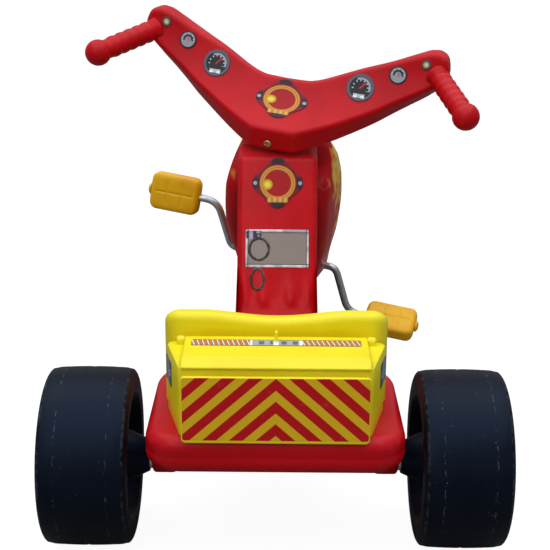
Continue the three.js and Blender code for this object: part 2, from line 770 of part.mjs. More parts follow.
/** The bent steel crank, one rod from pedal to pedal, with its throw along Y. */
function crank() {
  const end = PEDAL_INNER + PEDAL_LENGTH + 4;
  const corners = [
    [-end, CRANK_THROW],
    [-CRANK_ARM_OUT, CRANK_THROW],
    [-CRANK_ARM_IN, 0],
    [CRANK_ARM_IN, 0],
    [CRANK_ARM_OUT, -CRANK_THROW],
    [end, -CRANK_THROW],
  ].map(([x, y]) => new THREE.Vector3(x, y, 0));
  const path = new THREE.CurvePath();
  let from = corners[0];
  corners.slice(1, -1).forEach((corner, i) => {
    const next = corners[i + 2];
    const into = corner.clone().sub(from).setLength(CRANK_BEND).negate().add(corner);
    const out = next.clone().sub(corner).setLength(CRANK_BEND).add(corner);
    path.add(new THREE.LineCurve3(from, into));
    path.add(new THREE.QuadraticBezierCurve3(into, corner, out));
    from = out;
  });
  path.add(new THREE.LineCurve3(from, corners.at(-1)));
  const section = new THREE.Shape();
  section.absarc(0, 0, CRANK_RADIUS, 0, 2 * Math.PI);
  return new THREE.ExtrudeGeometry(section, { steps: 56, extrudePath: path, curveSegments: 4 });
}

/** A pedal block bored along X for the crank, centred on its own middle. */
function pedal() {
  const [half, deep] = [PEDAL_LENGTH / 2, PEDAL_DEPTH / 2];
  const outline = [
    [-half, -deep, 14],
    [half, -deep, 14],
    [half, deep, 14],
    [-half, deep, 14],
  ];
  const body = slab(roundedOutline(outline, 3), -PEDAL_THICKNESS / 2, PEDAL_THICKNESS / 2, 5);
  return cut(body, shaft(CRANK_RADIUS + PLAY, -half - 5, half + 5, 20));
}

/** The push-on cap at the crank's end, on the axis of the pedal. */
function pedalCap() {
  const from = PEDAL_INNER + PEDAL_LENGTH + GAP;
  const bore = CRANK_RADIUS + GAP;
  const profile = [
    [from, bore],
    [from, 11],
    [from + 5, 10],
    [from + 7, 0],
    [from + 4.5, 0],
    [from + 4.5, bore],
    [from, bore],
  ];
  return turned(profile, 20);
}

// ---------------------------------------------------------------- handlebar

// Half of the plate from the middle out: aside, lower edge and upper edge up the face.
const BAR_STATIONS = [
  [0, -HUB_BACK, 55],
  [30, -HUB_BACK, 56],
  [44, 6 - HUB_BACK, 59],
  [64, -19, 67],
  [86, -6, 77],
  [109, 8, 87],
  [135, 24, 97],
  [160, 41, 107],
  [182, 55, 116],
  [204, 70, 124],
  [220, 80, 124],
  [229, 90, 115],
];
const BAR_SPAN = BAR_STATIONS.at(-1)[0];

/** One section across an arm of the handlebar, in the steering frame. */
function barSection(aside, lower, upper) {
  const share = Math.abs(aside) / BAR_SPAN;
  const depth = THREE.MathUtils.lerp(BAR_THICKNESS, BAR_TIP_THICKNESS, share);
  const flare = THREE.MathUtils.lerp(BAR_FLARE, BAR_TIP_FLARE, share);
  const middle = (lower + upper) / 2;
  const corners = [
    [lower, 0, BAR_EDGE],
    [middle, 0, 2],
    [upper, 0, BAR_EDGE],
    [upper, -depth, BAR_EDGE],
    [middle, -depth, 2],
    [lower - flare, -depth, BAR_EDGE],
  ];
  return roundedOutline(corners, 2).map(({ x: up, y: out }) => {
    const [ahead, along] = onFace(up, out);
    return new THREE.Vector3(aside, ahead, FACE_HEIGHT + along);
  });
}

/** The plate: its sections in order from the left tip to the right one. */
function barPlate() {
  const right = BAR_STATIONS.map(([aside, lower, upper]) => barSection(aside, lower, upper));
  const left = BAR_STATIONS.slice(1).map(([aside, lower, upper]) => barSection(-aside, lower, upper));
  return loft([...left.reverse(), ...right].map((ring) => ring.reverse()));
}

/** A right hand grip with its round end, from the arm's end outwards and back. */
function grip() {
  const rings = 5;
  const ribbed = GRIP_LENGTH - 30;
  const profile = [[-10, 0], [-10, GRIP_RADIUS - 2]];
  for (let k = 0; k < rings; k++) {
    const at = 14 + (k * ribbed) / rings;
    profile.push([at, GRIP_RADIUS - 1.5], [at + ribbed / rings / 2, GRIP_RADIUS + 1]);
  }
  profile.push([GRIP_LENGTH - 14, GRIP_RADIUS - 1.5]);
  for (let k = 0; k <= 4; k++) {
    const angle = Math.PI * (0.75 - (0.75 * k) / 4);
    profile.push([GRIP_LENGTH + GRIP_BALL * Math.cos(angle), GRIP_BALL * Math.sin(angle)]);
  }
  const [ahead, along] = onFace(GRIP_ROOT.up, GRIP_ROOT.out);
  const towards = new THREE.Vector3(58, -94, 4).normalize();
  const turn = new THREE.Quaternion().setFromUnitVectors(new THREE.Vector3(1, 0, 0), towards);
  return turned(profile, 14).applyQuaternion(turn).translate(BAR_SPAN - 15, ahead, FACE_HEIGHT + along);
}

/** The handlebar in the steering frame: plate, grips, stem socket and screw hole. */
function handlebar() {
  const body = join(barPlate(), ...SIDES.map(([, side]) => sided(grip(), side)));
  const socket = upright(shaft(STEM_RADIUS + GAP, HEAD_TOP, STEM_TOP + 2, 24));
  return cut(body, socket, barScrew(GAP));
}

// ---------------------------------------------------------------- assembly

const tricycle = new THREE.Group();
const place = (parent, ...children) => (parent.add(...children), parent);

place(
  tricycle,
  piece("chassis", chassis(), RED),
  piece("seat", seat(), YELLOW),
  piece("storage_box", storageBox(), YELLOW),
  piece("box_lid", boxLid(), YELLOW),
  piece("lid_tab", lidTab(), YELLOW),
  piece("tail_panel", tailPanel(), YELLOW),
  piece("rear_axle", rearAxle(), STEEL),
);

for (const [name, side] of SIDES)
  place(
    tricycle,
    piece(`rear_wheel_${name}`, sided(rearWheel(), side), BLACK),
    piece(`axle_cap_${name}`, sided(axleCap(), side), BLACK),
    piece(`axle_washer_${name}`, sided(axleWasher(), side), NYLON),
    piece(`seat_bolt_${name}`, seatBolt(side), STEEL),
    piece(`lid_pin_${name}`, lidPin(side), STEEL),
  );

/** The rear axle rod, long enough to reach into both caps. */
function rearAxle() {
  const half = REAR_INNER + REAR_WIDTH - 16 + 6;
  return shaft(AXLE_RADIUS, -half, half, 20).translate(0, 0, REAR_RADIUS);
}

const head = new THREE.Group();
head.position.copy(STEER_ORIGIN);
head.rotation.x = RAKE;
place(head, piece("head_bush_upper", headBush(true), NYLON), piece("head_bush_lower", headBush(false), NYLON));

const steered = new THREE.Group();
steered.rotation.z = -STEERED;
place(
  steered,
  piece("steering_stem", steeringStem(), STEEL),
  piece("fork_crown", forkCrown(), RED),
  piece("handlebar", handlebar(), RED),
  piece("handlebar_screw", barScrew(), BRASS),
);

const axle = new THREE.Group();
axle.position.y = FORK_OFFSET;
const drive = new THREE.Group();
drive.rotation.x = CRANK_ANGLE;
place(drive, piece("crank", crank(), STEEL), piece("front_wheel", frontWheel(), BLACK));

for (const [name, side] of SIDES) {
  place(
    steered,
    piece(`fork_leg_${name}`, finishedLeg(side), RED),
    piece(`fork_bolt_${name}`, forkBolt(side), STEEL),
  );
  place(axle, piece(`crank_bush_${name}`, sided(crankBush(), side), NYLON));
  const foot = new THREE.Group();
  foot.position.set(0, -side * CRANK_THROW, 0);
  foot.rotation.x = PEDAL_TILT[side < 0 ? 0 : 1] - CRANK_ANGLE;
  const block = piece(`pedal_${name}`, pedal(), AMBER);
  block.position.x = side * (PEDAL_INNER + PEDAL_LENGTH / 2);
  place(drive, place(foot, block, piece(`pedal_cap_${name}`, sided(pedalCap(), side), BLACK)));
}

place(tricycle, place(head, place(steered, place(axle, drive))));

// The floor is at zero already, so only the plan is centred.
const middle = new THREE.Box3().setFromObject(tricycle, true).getCenter(new THREE.Vector3());
tricycle.position.set(-middle.x, -middle.y, 0);

const model = new THREE.Group();
model.add(tricycle);

export default model;
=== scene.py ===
"""Looks of a child's pedal tricycle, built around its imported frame.

Sizes are in millimetres. Pieces fixed to the tricycle are given from the middle of the rear axle, with X to
the rider's right, Y forwards and Z up from the floor. Pieces that steer are given aside of, ahead of and
along the steering axis, from the point on it that is level with the front axle.
"""

import json
import logging
import math
from dataclasses import dataclass
from enum import Enum
from functools import cache
from typing import Callable, Iterable, Sequence

import bpy
import numpy as np
from mathutils import Matrix, Vector


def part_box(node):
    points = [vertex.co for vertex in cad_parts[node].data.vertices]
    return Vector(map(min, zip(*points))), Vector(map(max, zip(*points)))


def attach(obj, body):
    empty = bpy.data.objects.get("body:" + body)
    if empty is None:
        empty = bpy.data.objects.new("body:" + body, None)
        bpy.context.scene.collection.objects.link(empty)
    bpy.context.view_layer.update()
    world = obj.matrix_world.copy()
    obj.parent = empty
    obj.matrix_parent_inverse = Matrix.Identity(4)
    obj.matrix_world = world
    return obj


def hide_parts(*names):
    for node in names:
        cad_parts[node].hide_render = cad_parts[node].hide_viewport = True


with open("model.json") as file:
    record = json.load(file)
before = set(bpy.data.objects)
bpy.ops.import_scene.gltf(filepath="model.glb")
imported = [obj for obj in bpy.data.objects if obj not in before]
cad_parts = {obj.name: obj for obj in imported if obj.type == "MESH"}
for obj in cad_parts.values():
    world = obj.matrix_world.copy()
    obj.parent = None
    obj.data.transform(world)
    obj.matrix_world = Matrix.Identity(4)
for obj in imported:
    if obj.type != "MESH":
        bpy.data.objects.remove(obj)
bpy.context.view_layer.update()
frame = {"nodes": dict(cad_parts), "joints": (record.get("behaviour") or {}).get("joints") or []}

LOG = logging.getLogger("tricycle")
MM = 0.001
TAU = 2 * math.pi
Grid = np.ndarray
Pair = tuple[float, float]
Triple = tuple[float, float, float]
Colour = Triple
Material = bpy.types.Material
Node = bpy.types.Node
Socket = bpy.types.NodeSocket


class Side(Enum):
    """The two sides of the tricycle, as the sign of X."""

    LEFT = -1
    RIGHT = 1

    @property
    def word(self) -> str:
        """The side's name as node names end with it."""
        return self.name.lower()


class Body(Enum):
    """The rigid bodies that pieces ride on."""

    FRAME = "frame"
    LID = "lid"
    STEERING = "steering"
    FRONT_WHEEL = "front_wheel"
    PEDAL_LEFT = "pedal_left"
    PEDAL_RIGHT = "pedal_right"
    REAR_WHEEL_LEFT = "rear_wheel_left"
    REAR_WHEEL_RIGHT = "rear_wheel_right"


class Slot(Enum):
    """The record's material slots."""

    RED = "red_plastic"
    YELLOW = "yellow_plastic"
    BLACK = "black_plastic"
    AMBER = "amber_plastic"
    ZINC = "zinc_steel"
    BRASS = "brass"


# --- places


@dataclass(frozen=True)
class Place:
    """A frame that pieces are given in.

    Attributes:
        origin: its origin in the tricycle's frame, in millimetres.
        axes: rows are its three axes in the tricycle's frame.
    """

    origin: Grid
    axes: Grid

    def world(self, points: Grid) -> Grid:
        """Points of this frame in the tricycle's frame, in metres."""
        return (self.origin + points @ self.axes) * MM

    def shifted(self, offset: Sequence[float]) -> "Place":
        """The same frame with its origin moved, by an offset in its own axes."""
        return Place(self.origin + np.asarray(offset, float) @ self.axes, self.axes)

    def spun(self, angle: float) -> "Place":
        """The same frame turned about its own X axis.

        Args:
            angle: in radians, by the right-hand rule.
        """
        turn = np.array(Matrix.Rotation(angle, 3, "X")).T
        return Place(self.origin, turn @ self.axes)


def rear_place() -> Place:
    """The frame of the fixed pieces: the rear axle's middle, at floor height."""
    low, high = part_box("rear_axle")
    middle = (np.array(low) + np.array(high)) / 2 / MM
    return Place(np.array([middle[0], middle[1], 0.0]), np.eye(3))


def joint(name: str) -> dict:
    """The record's row for a joint."""
    return next(row for row in frame["joints"] if row["name"] == name)


def steering_place() -> Place:
    """The frame of the steered pieces, from the steering joint and the front wheel's."""
    steer = joint("steer")
    along = np.array(steer["axis"], float)
    aside = np.array(joint("front_wheel_spin")["axis"], float)
    ahead = np.cross(along, aside)
    axes = np.array([axis / np.linalg.norm(axis) for axis in (aside, ahead, along)])
    return Place(np.array(steer["pos_m"]) / MM, axes)


def spin_place(name: str) -> Place:
    """A wheel's or pedal's frame: on its joint, with X along the joint's axis."""
    row = joint(name)
    axes = steering_place().axes if name.startswith(("front", "pedal")) else np.eye(3)
    return Place(np.array(row["pos_m"]) / MM, axes)


# --- curves and sections


def eased(values: Grid, low: float, high: float) -> Grid:
    """A smooth step: 0 below low, 1 above high, and 3t² - 2t³ between them."""
    share = np.clip((values - low) / (high - low), 0, 1)
    return share * share * (3 - 2 * share)


def through(knots: Sequence[float], values: Sequence, where: Grid) -> Grid:
    """A smooth curve through stations, without overshoot.

    Each span is a cubic whose end slopes are the harmonic mean of the slopes on both sides of the station,
    or zero where they differ in sign.

    Args:
        knots: rising stations.
        values: one row for each station.
        where: where to evaluate it.

    Returns:
        One row for each place.
    """
    x, y = np.asarray(knots, float), np.asarray(values, float)
    y = y.reshape(len(x), -1)
    steps = np.diff(x)[:, None]
    rise = np.diff(y, axis=0) / steps
    product = rise[:-1] * rise[1:]
    total = np.where(product > 0, rise[:-1] + rise[1:], 1)
    inner = np.where(product > 0, 2 * product / total, 0)
    slope = np.vstack([rise[:1], inner, rise[-1:]])
    span = np.clip(np.searchsorted(x, where, side="right") - 1, 0, len(x) - 2)
    t = ((where - x[span]) / (x[span + 1] - x[span]))[:, None]
    h = steps[span]
    square, cube = t * t, t * t * t
    made = (
        (2 * cube - 3 * square + 1) * y[span]
        + (cube - 2 * square + t) * h * slope[span]
        + (3 * square - 2 * cube) * y[span + 1]
        + (cube - square) * h * slope[span + 1]
    )
    return made if np.asarray(values, float).ndim > 1 else made[:, 0]


def inset_corners(corners: Grid, inset: Grid) -> Grid:
    """Corners moved inwards so that each edge shifts by the inset.

    A corner moves by the sum of its two edges' inward normals over one plus their dot product.

    Args:
        corners: (C, 2) or (V, C, 2), anticlockwise.
        inset: one distance for each of the V rows.

    Returns:
        (V, C, 2) corners.
    """
    stack = np.broadcast_to(corners, (len(inset), *corners.shape[-2:]))
    edge = np.roll(stack, -1, axis=1) - stack
    edge = edge / np.linalg.norm(edge, axis=2, keepdims=True)
    normal = np.stack([-edge[..., 1], edge[..., 0]], axis=2)
    before = np.roll(normal, 1, axis=1)
    bend = 1 + (normal * before).sum(axis=2, keepdims=True)
    return stack + (normal + before) / bend * inset[:, None, None]


def rounded(corners: Grid, radii: Grid, arc: int = 6, edge: int = 1) -> Grid:
    """Closed outlines with rounded corners.

    Each corner is a cubic curve close to a circle's arc, that starts and ends the radius times the cotangent
    of half the corner's angle away from it, and the stretch to the next corner is divided evenly.

    Args:
        corners: (V, C, 2) corners of V outlines.
        radii: (V, C) radii.
        arc: spans in each rounded corner.
        edge: spans in each straight stretch.

    Returns:
        (V, C * (arc + edge), 2) points.
    """
    out = np.roll(corners, -1, axis=1) - corners
    back = np.roll(corners, 1, axis=1) - corners
    out_length = np.linalg.norm(out, axis=2)
    back_length = np.linalg.norm(back, axis=2)
    out, back = out / out_length[..., None], back / back_length[..., None]
    inside = np.arccos(np.clip((out * back).sum(axis=2), -1, 1))
    reach = radii / np.tan(inside / 2)
    reach = np.minimum(reach, 0.49 * np.minimum(out_length, back_length))[..., None]
    turn = math.pi - inside
    ratio = np.tan(turn / 4) / np.tan(np.maximum(turn, 1e-4) / 2)
    pull = np.where(turn > 1e-4, 4 / 3 * ratio, 2 / 3)[..., None]
    start, end = corners + back * reach, corners + out * reach
    first, second = start - back * reach * pull, end - out * reach * pull
    t = np.linspace(0, 1, arc + 1)[:, None]
    curve = (
        start[..., None, :] * (1 - t) ** 3
        + first[..., None, :] * 3 * t * (1 - t) ** 2
        + second[..., None, :] * 3 * t * t * (1 - t)
        + end[..., None, :] * t**3
    )
    onward = np.roll(start, -1, axis=1)
    share = np.linspace(0, 1, edge + 1)[1:-1, None]
    straight = end[..., None, :] + (onward - end)[..., None, :] * share
    whole = np.concatenate([curve, straight], axis=2)
    return whole.reshape(len(corners), -1, 2)


def section(*corners: tuple[Grid, Grid]) -> Grid:
    """Corners of an outline at each station, (V, C, 2), from a pair of coordinates for each corner."""
    return np.stack([np.stack(pair, axis=1) for pair in corners], axis=1)


def edge_profile(low: float, high: float, under: float, over: float, steps: int = 7) -> tuple[Grid, Grid]:
    """A slab's edge from the middle of its underside round to the middle of its top.

    Args:
        low: underside.
        high: top.
        under: radius of the lower edge.
        over: radius of the upper edge.
        steps: spans in each quarter circle.

    Returns:
        Heights and insets, one for each ring. The first and last rings lie a little inside the rounded
        edges, so that the flat faces stay flat when they are shaded.
    """
    angle = np.linspace(0, math.pi / 2, steps + 1)
    heights = [low, *(low + under * (1 - np.cos(angle))), *(high - over * (1 - np.sin(angle))), high]
    insets = [under + 1.5, *(under * (1 - np.sin(angle))), *(over * (1 - np.cos(angle))), over + 1.5]
    return np.array(heights), np.array(insets)


def slab_rings(
    corners: Sequence[Sequence[float]],
    radius: float | Sequence[float],
    profile: tuple[Grid, Grid],
    arc: int = 6,
    edge: int = 1,
) -> Grid:
    """Rings of a slab that stands on the XY plane: its outline, inset and raised by an edge profile.

    Args:
        corners: the outline's corners, anticlockwise.
        radius: the corners' radius, or one for each.
        profile: heights and insets.
        arc: spans in each rounded corner.
        edge: spans in each straight stretch.

    Returns:
        (V, U, 3) points.
    """
    heights, insets = profile
    placed = inset_corners(np.asarray(corners, float), insets)
    radii = np.maximum(np.broadcast_to(radius, len(corners)) - insets[:, None], 0.4)
    flat = rounded(placed, radii, arc, edge)
    level = np.broadcast_to(heights[:, None, None], (*flat.shape[:2], 1))
    return np.concatenate([flat, level], axis=2)


def on_wall(rings: Grid) -> Grid:
    """Rings made on the XY plane stood up: X stays, Y becomes the way up and Z points backwards."""
    return np.stack([rings[..., 0], -rings[..., 2], rings[..., 1]], axis=-1)


def across(rings: Grid) -> Grid:
    """Rings whose outline is (Y, Z), swept along X."""
    return np.stack([rings[..., 2], rings[..., 0], rings[..., 1]], axis=-1)


def turned(profile: Grid, count: int) -> Grid:
    """A profile carried round the X axis.

    Args:
        profile: (V, 2) of station along X and radius.
        count: spans round the circle.

    Returns:
        (V, count, 3) points.
    """
    angle = np.linspace(0, TAU, count, endpoint=False)
    along = np.repeat(profile[:, :1], count, axis=1)
    radius = profile[:, 1:]
    return np.stack([along, radius * np.cos(angle), radius * np.sin(angle)], axis=-1)


def filleted(points: Sequence[Sequence[float]], radii: Sequence[float], steps: int = 5) -> Grid:
    """An open profile whose inner points are rounded by cubic arcs.

    Args:
        points: (P, 2) corners.
        radii: one for each inner point.
        steps: spans in each arc.

    Returns:
        The points of the rounded profile.
    """
    corner = np.asarray(points, float)
    inner, sizes = corner[1:-1], np.asarray(radii, float)
    back, out = corner[:-2] - inner, corner[2:] - inner
    limit = 0.49 * np.minimum(np.linalg.norm(back, axis=1), np.linalg.norm(out, axis=1))
    back /= np.linalg.norm(back, axis=1, keepdims=True)
    out /= np.linalg.norm(out, axis=1, keepdims=True)
    half = np.arccos(np.clip((back * out).sum(axis=1), -1, 1)) / 2
    reach = np.minimum(sizes / np.tan(np.maximum(half, 0.05)), limit)[:, None, None]
    t = np.linspace(0, 1, steps + 1)[:, None]
    start, end = inner[:, None] + back[:, None] * reach, inner[:, None] + out[:, None] * reach
    curve = start * (1 - t) ** 2 + inner[:, None] * 2 * t * (1 - t) + end * t**2
    return np.vstack([corner[:1], curve.reshape(-1, 2), corner[-1:]])


def dense(profile: Grid, spacing: float) -> Grid:
    """A profile with points added so that none of its spans is longer than the spacing."""
    length = np.linalg.norm(np.diff(profile, axis=0), axis=1)
    count = np.maximum(np.ceil(length / spacing).astype(int), 1)
    station = np.concatenate([[0], np.cumsum(length)])
    spans = [np.linspace(a, b, n, endpoint=False) for a, b, n in zip(station, station[1:], count)]
    wanted = np.concatenate([*spans, station[-1:]])
    return np.stack([np.interp(wanted, station, profile[:, k]) for k in (0, 1)], axis=1)


# --- meshes


@dataclass
class Skin:
    """A surface of rings that is closed into one body.

    Attributes:
        rings: (V, U, 3) points in a place's frame; each ring closes on itself.
        loop: the last ring joins the first, as on a tube bent into a ring; otherwise each end is closed.
        uv: (V, U, 2) map, for pieces whose pattern follows the surface.
        sharp: edges that bend more than this many degrees stay sharp.
    """

    rings: Grid
    loop: bool = False
    uv: Grid | None = None
    sharp: float = 38

    def faces(self) -> tuple[Grid, Grid]:
        """Quads between rings, and triangles from open ends to their middle points."""
        rows, count = self.rings.shape[:2]
        index = np.arange(rows * count).reshape(rows, count)
        if self.loop:
            index = np.vstack([index, index[:1]])
        onward = np.roll(index, -1, axis=1)
        quads = np.stack([index[:-1], onward[:-1], onward[1:], index[1:]], axis=-1).reshape(-1, 4)
        if self.loop:
            return quads, np.empty((0, 3), int)
        first, last = np.full(count, rows * count), np.full(count, rows * count + 1)
        start = np.stack([onward[0], index[0], first], axis=-1)
        end = np.stack([index[-1], onward[-1], last], axis=-1)
        return quads, np.vstack([start, end])

    def points(self) -> Grid:
        """All points, with the ends' middle points last."""
        flat = self.rings.reshape(-1, 3)
        if self.loop:
            return flat
        return np.vstack([flat, self.rings[0].mean(axis=0), self.rings[-1].mean(axis=0)])

    def map(self) -> Grid | None:
        """The UV map of all points, as rows."""
        if self.uv is None:
            return None
        flat = self.uv.reshape(-1, 2)
        return flat if self.loop else np.vstack([flat, self.uv[0].mean(axis=0), self.uv[-1].mean(axis=0)])


def volume(points: Grid, faces: Grid) -> float:
    """Six times the signed volume under faces: the sum of a · (b × c) over a fan of triangles in each."""
    corner = points[faces]
    return float((corner[:, :1] * np.cross(corner[:, 1:-1], corner[:, 2:])).sum())


def made(name: str, skins: Iterable[Skin], place: Place, material: Material) -> bpy.types.Object:
    """One object from closed surfaces, whose faces are turned round where their signed volume is negative.

    Args:
        name: the object's name.
        skins: its surfaces, each closed.
        place: the frame that they are given in.
        material: its finish.

    Returns:
        The object, at the origin, with its place in its mesh.
    """
    points, faces, maps = [], [], []
    for skin in skins:
        here, groups = place.world(skin.points()), skin.faces()
        inside_out = sum(volume(here, group) for group in groups) < 0
        start = sum(map(len, points))
        for group in groups:
            if inside_out:
                group = np.hstack([group[:, :1], group[:, :0:-1]])
            faces += (group + start).tolist()
        points.append(here)
        maps.append(skin.map())
    mesh = bpy.data.meshes.new(name)
    mesh.from_pydata(np.vstack(points), [], faces)
    mesh.polygons.foreach_set("use_smooth", np.ones(len(mesh.polygons), bool))
    mesh.set_sharp_from_angle(angle=math.radians(min(skin.sharp for skin in skins)))
    if all(one is not None for one in maps):
        loops = np.empty(len(mesh.loops), np.int32)
        mesh.loops.foreach_get("vertex_index", loops)
        layer = mesh.uv_layers.new(name="surface")
        layer.uv.foreach_set("vector", np.vstack(maps)[loops].astype(np.float32).ravel())
    mesh.materials.append(material)
    obj = bpy.data.objects.new(name, mesh)
    bpy.context.scene.collection.objects.link(obj)
    return obj


def fit(
    name: str,
    skins: Iterable[Skin],
    place: Place,
    material: Material,
    body: Body,
    slot: Slot,
    nodes: Sequence[str] = (),
) -> None:
    """Makes a piece, puts it on its body, hides the nodes that it stands for, and reports it.

    Args:
        name: the piece's name.
        skins: its surfaces.
        place: the frame that they are given in.
        material: its finish.
        body: the body that it rides on.
        slot: the record's material slot; not used.
        nodes: CAD nodes that it stands for.
    """
    piece = made(name, skins, place, material)
    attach(piece, body.value)
    if nodes:
        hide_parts(*nodes)
    LOG.info("%s on %s, %d faces, stands for %s", name, body.value, len(piece.data.polygons), list(nodes))


# --- shader arithmetic


@dataclass(frozen=True)
class Signal:
    """A number that varies over a surface; arithmetic on it adds Math nodes to its tree."""

    wiring: "Wiring"
    socket: Socket

    def __add__(self, other: "Signal | float") -> "Signal":
        """The sum."""
        return self.wiring.math("ADD", self, other)

    def __sub__(self, other: "Signal | float") -> "Signal":
        """The difference."""
        return self.wiring.math("SUBTRACT", self, other)

    def __mul__(self, other: "Signal | float") -> "Signal":
        """The product."""
        return self.wiring.math("MULTIPLY", self, other)

    def __rsub__(self, other: float) -> "Signal":
        """The difference from a plain number."""
        return self.wiring.math("SUBTRACT", other, self)

    def size(self) -> "Signal":
        """The value without its sign."""
        return self.wiring.math("ABSOLUTE", self)

    def wave(self) -> "Signal":
        """The sine."""
        return self.wiring.math("SINE", self)

    def part(self) -> "Signal":
        """What is over a whole number."""
        return self.wiring.math("FRACT", self)

    def either(self, other: "Signal | float") -> "Signal":
        """The larger of the two."""
        return self.wiring.math("MAXIMUM", self, other)

    def root(self) -> "Signal":
        """The square root."""
        return self.wiring.math("SQRT", self)

    def over(self, level: float, soft: float = 0.004) -> "Signal":
        """1 where the value is over a level and 0 where it is under it, with a soft edge."""
        return self.wiring.span(self, level - soft, level + soft)

    def under(self, level: float, soft: float = 0.004) -> "Signal":
        """1 where the value is under a level."""
        return 1.0 - self.over(level, soft)

    def within(self, low: float, high: float, soft: float = 0.004) -> "Signal":
        """1 where the value lies between two levels."""
        return self.over(low, soft) - self.over(high, soft)


class Wiring:
    """Adds and links the nodes of one tree."""

    def __init__(self, tree: bpy.types.NodeTree) -> None:
        """Starts with a tree that may hold nodes already."""
        self.tree = tree

    def node(self, kind: str, **settings: object) -> Node:
        """A new node, with some of its settings."""
        made_node = self.tree.nodes.new(kind)
        for name, value in settings.items():
            setattr(made_node, name, value)
        return made_node

    def feed(self, socket: Socket, value: object) -> None:
        """Links a signal or socket into a socket, or sets its plain value."""
        if isinstance(value, Signal):
            value = value.socket
        if isinstance(value, Socket):
            self.tree.links.new(value, socket)
        else:
            socket.default_value = value

    def math(self, operation: str, first: object, second: object = None) -> Signal:
        """A Math node."""
        node = self.node("ShaderNodeMath", operation=operation)
        self.feed(node.inputs[0], first)
        if second is not None:
            self.feed(node.inputs[1], second)
        return Signal(self, node.outputs[0])

    def span(self, value: Signal, low: float, high: float, to: Pair = (0.0, 1.0)) -> Signal:
        """A value carried from one span to another, and held at its ends."""
        node = self.node("ShaderNodeMapRange", interpolation_type="SMOOTHSTEP")
        for socket, given in zip(node.inputs, (value, low, high, *to)):
            self.feed(socket, given)
        return Signal(self, node.outputs[0])

    def noise(
        self, vector: object, scale: object, detail: float = 2.0, stretch: Sequence[float] | None = None
    ) -> Signal:
        """Noise from 0 to 1, which can be stretched along the axes."""
        if stretch is not None:
            mapping = self.node("ShaderNodeMapping")
            self.feed(mapping.inputs["Vector"], vector)
            mapping.inputs["Scale"].default_value = stretch
            vector = mapping.outputs["Vector"]
        node = self.node("ShaderNodeTexNoise")
        self.feed(node.inputs["Vector"], vector)
        self.feed(node.inputs["Scale"], scale)
        node.inputs["Detail"].default_value = detail
        return Signal(self, node.outputs["Fac"])

    def paint(self, mask: object, under: object, over: object) -> Socket:
        """One colour over another, where a mask says."""
        node = self.node("ShaderNodeMix", data_type="RGBA", clamp_factor=True)
        factor, first, second = (node.inputs[index] for index in (0, 6, 7))
        self.feed(factor, mask)
        self.feed(first, under)
        self.feed(second, over)
        return node.outputs[2]

    def fill(self, node: Node, **values: object) -> Node:
        """A node whose inputs are fed by name, with an underscore for each space."""
        for name, value in values.items():
            self.feed(node.inputs[name.replace("_", " ")], value)
        return node

    def use(self, group: bpy.types.NodeTree, **values: object) -> Node:
        """A node group, with its inputs fed by name."""
        return self.fill(self.node("ShaderNodeGroup", node_tree=group), **values)

    def emboss(self, shader: Node, height: object, depth: float) -> None:
        """Feeds a height to a shader's normal through a Bump node.

        Args:
            shader: the shader.
            height: from 0 to 1.
            depth: its full height in metres.
        """
        bump = self.node("ShaderNodeBump")
        bump.inputs["Distance"].default_value = depth
        self.feed(bump.inputs["Height"], height)
        self.feed(shader.inputs["Normal"], bump.outputs["Normal"])

    def coordinates(self) -> Socket:
        """Object coordinates, in metres."""
        return self.node("ShaderNodeTexCoord").outputs["Object"]

    def map(self) -> tuple[Signal, Signal]:
        """The two coordinates of the piece's own UV map."""
        uv = self.node("ShaderNodeUVMap", uv_map="surface").outputs["UV"]
        parts = self.node("ShaderNodeSeparateXYZ")
        self.feed(parts.inputs[0], uv)
        return Signal(self, parts.outputs[0]), Signal(self, parts.outputs[1])


def shader_group(name: str, inputs: dict[str, object], outputs: dict[str, str]) -> tuple[Wiring, dict, dict]:
    """An empty shader node group.

    Args:
        name: the group's name.
        inputs: a default for each input; a tuple makes a vector.
        outputs: a socket type for each output.

    Returns:
        Its wiring, its input sockets by name, and its output sockets by name.
    """
    tree = bpy.data.node_groups.new(name, "ShaderNodeTree")
    for label, default in inputs.items():
        kind = "NodeSocketVector" if isinstance(default, tuple) else "NodeSocketFloat"
        socket = tree.interface.new_socket(label, in_out="INPUT", socket_type=kind)
        socket.default_value = default
    for label, kind in outputs.items():
        tree.interface.new_socket(label, in_out="OUTPUT", socket_type=kind)
    wiring = Wiring(tree)
    entry, end = wiring.node("NodeGroupInput"), wiring.node("NodeGroupOutput")
    given = {label: entry.outputs[label] for label in inputs}
    return wiring, given, {label: end.inputs[label] for label in outputs}


def grain_group() -> bpy.types.NodeTree:
    """Moulded skin: fine grain and slow ripples as a height, and a slow mottle as a value."""
    wiring, given, out = shader_group(
        "moulded_grain",
        {"Vector": (0.0, 0.0, 0.0), "Grain": 900.0, "Ripple": 22.0, "Ripple Depth": 0.5},
        {"Height": "NodeSocketFloat", "Mottle": "NodeSocketFloat"},
    )
    fine = wiring.noise(given["Vector"], given["Grain"], 3.0)
    slow = wiring.noise(given["Vector"], given["Ripple"], 1.0)
    depth = wiring.math("MULTIPLY", slow, given["Ripple Depth"])
    wiring.feed(out["Height"], fine * 0.12 + depth)
    wiring.feed(out["Mottle"], wiring.span(slow, 0.3, 0.7))
    return wiring.tree


